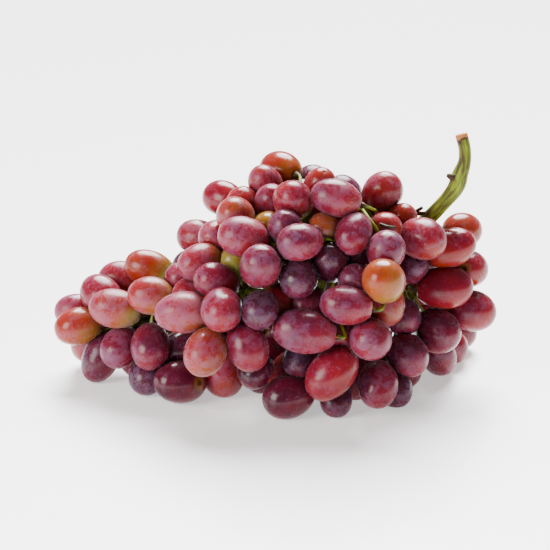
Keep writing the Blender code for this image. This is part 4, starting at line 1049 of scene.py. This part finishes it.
def makeWaxedSkin():
    material, tree = newMaterial("waxedGrapeSkin")
    smooth = {"interpolation_type": "SMOOTHSTEP"}
    marks = {name: addNode(tree, "ShaderNodeAttribute", {"attribute_name": name}).outputs["Fac"]
             for name in ("ripe", "bloom", "glow", "axial", "crown", "heel", "under")}
    flesh = addNode(tree, "ShaderNodeAttribute", {"attribute_name": "flesh"}).outputs["Vector"]
    blush, specks, patches, rubs = (
        addNode(tree, "ShaderNodeTexNoise", waxedSkin[name], {"Vector": flesh}).outputs["Fac"]
        for name in ("blush", "specks", "patches", "rubs"))
    # ripeness: the grape's own, shifted by the blush, less at an amber stalk end, and less on the lower front
    # side (painted glow of light through the flesh, and shade-ripened skin)
    shift = addNode(tree, "ShaderNodeMath", {"operation": "MULTIPLY_ADD", 1: waxedSkin["blushShift"],
                                             2: -waxedSkin["blushShift"] / 2}, {0: blush})
    start, full = waxedSkin["stalkReach"]
    ends = addNode(tree, "ShaderNodeMapRange", {**smooth, "From Min": start, "From Max": full},
                   {"Value": marks["axial"]})
    amber = addNode(tree, "ShaderNodeMath", {"operation": "MULTIPLY"},
                    {0: ends.outputs["Result"], 1: marks["glow"]})
    ripe = addNode(tree, "ShaderNodeMath", {"operation": "ADD"},
                   {0: marks["ripe"], 1: shift.outputs["Value"]})
    ripe = addNode(tree, "ShaderNodeMath", {"operation": "MULTIPLY_ADD", 1: -waxedSkin["stalkShift"]},
                   {0: amber.outputs["Value"], 2: ripe.outputs["Value"]})
    # painted glow: the lower front of each grape is painted amber, as light through the flesh would make it,
    # along with skin that ripened in the shade
    glowAndUnripe = addNode(tree, "ShaderNodeMapRange", {**smooth, "To Max": -waxedSkin["glowAndUnripeShift"]},
                    {"Value": marks["under"]})
    byGlow, always = waxedSkin["glowAndUnripeShare"]
    share = addNode(tree, "ShaderNodeMath", {"operation": "MULTIPLY_ADD", 1: byGlow, 2: always},
                    {0: marks["glow"]})
    ripe = addNode(tree, "ShaderNodeMath", {"operation": "MULTIPLY_ADD"},
                   {0: glowAndUnripe.outputs["Result"], 1: share.outputs["Value"], 2: ripe.outputs["Value"]})
    ramp = addNode(tree, "ShaderNodeValToRGB", {}, {"Fac": ripe.outputs["Value"]})
    setStops(ramp, waxedSkin["ripeColours"])
    # small pale specks
    start, full, most = waxedSkin["speckRange"]
    speck = addNode(tree, "ShaderNodeMapRange", {"From Min": start, "From Max": full, "To Max": most},
                    {"Value": specks})
    colour = addNode(tree, "ShaderNodeMix", {"data_type": "RGBA", 7: linear(waxedSkin["speckColour"])},
                     {0: speck.outputs["Result"], 6: ramp.outputs["Color"]})
    # wax in patches: the more bloom, the lower the noise has to reach, less where rubbed, and grained
    level = addNode(tree, "ShaderNodeMath", {"operation": "MULTIPLY_ADD", 1: waxedSkin["bloomLift"]},
                    {0: marks["bloom"], 2: patches})
    start, full = waxedSkin["waxRange"]
    wax = addNode(tree, "ShaderNodeMapRange", {**smooth, "From Min": start, "From Max": full},
                  {"Value": level.outputs["Value"]}).outputs["Result"]
    for noise, name, kind in ((rubs, "rubRange", smooth), (specks, "grainRange", {})):
        start, full, least = waxedSkin[name]
        kept = addNode(tree, "ShaderNodeMapRange", {**kind, "From Min": start, "From Max": full,
                                                    "To Min": least}, {"Value": noise})
        wax = addNode(tree, "ShaderNodeMath", {"operation": "MULTIPLY"},
                      {0: wax, 1: kept.outputs["Result"]}).outputs["Value"]
    share = addNode(tree, "ShaderNodeMath", {"operation": "MULTIPLY", 1: waxedSkin["waxMost"]}, {0: wax})
    colour = addNode(tree, "ShaderNodeMix", {"data_type": "RGBA", 7: linear(waxedSkin["waxColour"])},
                     {0: share.outputs["Value"], 6: colour.outputs[2]})
    for name in ("scar", "collar", "hole"):
        mark, start, full, most, tone = waxedSkin[name]
        near = addNode(tree, "ShaderNodeMapRange", {**smooth, "From Min": start, "From Max": full,
                                                    "To Max": most}, {"Value": marks[mark]})
        colour = addNode(tree, "ShaderNodeMix", {"data_type": "RGBA", 7: linear(tone)},
                         {0: near.outputs["Result"], 6: colour.outputs[2]})
    roughness = addNode(tree, "ShaderNodeMapRange", waxedSkin["roughness"], {"Value": wax})
    height = addNode(tree, "ShaderNodeMath", {"operation": "MULTIPLY_ADD", 1: waxedSkin["grainHeight"]},
                     {0: specks, 2: patches})
    bump = addNode(tree, "ShaderNodeBump", waxedSkin["bump"], {"Height": height.outputs["Value"]})
    shader = addNode(tree, "ShaderNodeBsdfPrincipled", waxedSkin["flesh"], {
        "Base Color": colour.outputs[2], "Roughness": roughness.outputs["Result"],
        "Normal": bump.outputs["Normal"]})
    addNode(tree, "ShaderNodeOutputMaterial", {}, {"Surface": shader.outputs["BSDF"]})
    return material


# Fresh green grape wood: a matt fibrous bark, yellow-green where young, streaked brown, and tan where torn.
greenWood = {
    "colours": (  # by dryness
        (0.0, "#7a8a10"), (0.3, "#565f0a"), (0.5, "#423510"), (0.72, "#2f1e10"), (0.93, "#3a2616"),
        (1.0, "#a8652c"),
    ),
    "streaks": {"Scale": 1 / (1.6 * mm), "Detail": 4.0, "Roughness": 0.6},
    "streakShift": 2.2,  # of dryness, from the palest streak to the darkest
    "bump": {"Strength": 0.3, "Distance": 0.3 * mm},
    "bark": {
        "Roughness": 0.58, "Specular IOR Level": 0.3, "Subsurface Weight": 0.08, "Subsurface Scale": 1.5 * mm,
    },
}


def makeGreenWood():
    material, tree = newMaterial("greenGrapeWood")
    dry = addNode(tree, "ShaderNodeAttribute", {"attribute_name": "dry"})
    grain = addNode(tree, "ShaderNodeAttribute", {"attribute_name": "grain"})
    streaks = addNode(tree, "ShaderNodeTexNoise", greenWood["streaks"], {"Vector": grain.outputs["Vector"]})
    shift = addNode(tree, "ShaderNodeMath", {"operation": "MULTIPLY_ADD", 1: greenWood["streakShift"],
                                             2: -greenWood["streakShift"] / 2}, {0: streaks.outputs["Fac"]})
    level = addNode(tree, "ShaderNodeMath", {"operation": "ADD", "use_clamp": True},
                    {0: dry.outputs["Fac"], 1: shift.outputs["Value"]})
    ramp = addNode(tree, "ShaderNodeValToRGB", {}, {"Fac": level.outputs["Value"]})
    setStops(ramp, greenWood["colours"])
    bump = addNode(tree, "ShaderNodeBump", greenWood["bump"], {"Height": streaks.outputs["Fac"]})
    shader = addNode(tree, "ShaderNodeBsdfPrincipled", greenWood["bark"],
                     {"Base Color": ramp.outputs["Color"], "Normal": bump.outputs["Normal"]})
    addNode(tree, "ShaderNodeOutputMaterial", {}, {"Surface": shader.outputs["BSDF"]})
    return material


# White glossy board, softly lit from beneath: faint reflections, and pale light under the grapes.
whiteBoard = {
    "Base Color": linear("#f8f7f7"), "Roughness": 0.3, "Emission Color": linear("#ffffff"),
    "Emission Strength": 0.6,
}


def makeWhiteBoard():
    material, tree = newMaterial("whiteBoard")
    shader = addNode(tree, "ShaderNodeBsdfPrincipled", whiteBoard)
    addNode(tree, "ShaderNodeOutputMaterial", {}, {"Surface": shader.outputs["BSDF"]})
    return material


dice = np.random.default_rng(grapeForm["seed"])
shown = seenGrapes()
grapes = gather(settle(shown + fillerGrapes(shown)))
grapes = [grape if grape.looks else grape._replace(looks=(dice.uniform(*grapeForm["fillerRipe"]),
                                                          dice.uniform(*grapeForm["fillerBloom"]),
                                                          grapeForm["fillerGlow"]))
          for grape in grapes]
pairs, meetings = fusedPairs(grapes)
members = shareOut(grapes, pairs)
routes = stemRoutes(grapes, members, pairs)
planes = stemCuts(grapes, routes)
for a, b, way, place in meetings:
    planes[a].append((place, way))
    planes[b].append((place, -way))
for index in planes:
    planes[index].append((np.zeros(3), np.array((0, 0, -1.0))))
print("stage: layout,", len(grapes), "grapes")

skin = makeWaxedSkin()
wood = makeGreenWood()
for name, spray in members.items():
    surfaces = [grapeSurface(grapes[index], planes[index], dice, bareScars.get(index)) for index in spray]
    piece = addPiece("berries_" + name, surfaces, skin)
    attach(piece, "root")
    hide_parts("grapes_" + name)
print("stage: grapes done")

piece = addPiece("stemFine", stemSurfaces(grapes, routes), wood)
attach(piece, "root")
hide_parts("stem")
print("stage: stem done")

# A pale board, a soft key light from the left and a broad high one from behind
studio = {
    "floorSize": 6.0,
    "worldColour": "#ffffff",
    "worldStrength": 0.22,
    "lights": (  # name, kind, place, size in metres or spread in degrees, power, colour
        ("key", "AREA", (-0.85, -0.62, 0.45), 0.6, 19.0, "#fffaf4"),
        ("overhead", "SUN", (0.1, 0.9, 1.1), 40.0, 17.0, "#ffffff"),
    ),
    "aim": (0.0, 0.0, 0.05),
    "sensor": 36,  # of the camera, in mm
    "pixels": 550,  # the picture's width, and its pixels to the millimetre at the bunch
    "perMm": 2.1,
}

half = studio["floorSize"] / 2
mesh = bpy.data.meshes.new("floor")
mesh.from_pydata([(-half, -half, 0), (half, -half, 0), (half, half, 0), (-half, half, 0)], [], [(0, 1, 2, 3)])
floor = bpy.data.objects.new("floor", mesh)
floor.data.materials.append(makeWhiteBoard())
bpy.context.scene.collection.objects.link(floor)

world = bpy.data.worlds.new("studio")
bpy.context.scene.world = world
world.use_nodes = True
background = world.node_tree.nodes["Background"]
background.inputs["Color"].default_value = linear(studio["worldColour"])
background.inputs["Strength"].default_value = studio["worldStrength"]
for name, kind, place, size, power, colour in studio["lights"]:
    lamp = bpy.data.lights.new(name, kind)
    if kind == "SUN":
        lamp.angle = math.radians(size)
    else:
        lamp.size = size
    lamp.energy = power
    lamp.color = linear(colour)[:3]
    thing = bpy.data.objects.new(name, lamp)
    thing.location = place
    thing.rotation_euler = (Vector(studio["aim"]) - Vector(place)).to_track_quat("-Z", "Y").to_euler()
    bpy.context.scene.collection.objects.link(thing)

aim = viewUp * view["aimUp"] + centring
lens = bpy.data.cameras.new("camera")
lens.sensor_width = studio["sensor"]
lens.lens = studio["sensor"] * view["distance"] / (studio["pixels"] / studio["perMm"] * mm)
camera = bpy.data.objects.new("camera", lens)
camera.location = aim + viewNear * view["distance"]
camera.rotation_euler = Vector(viewNear).to_track_quat("Z", "Y").to_euler()
bpy.context.scene.collection.objects.link(camera)
bpy.context.scene.camera = camera
print("stage: studio done")
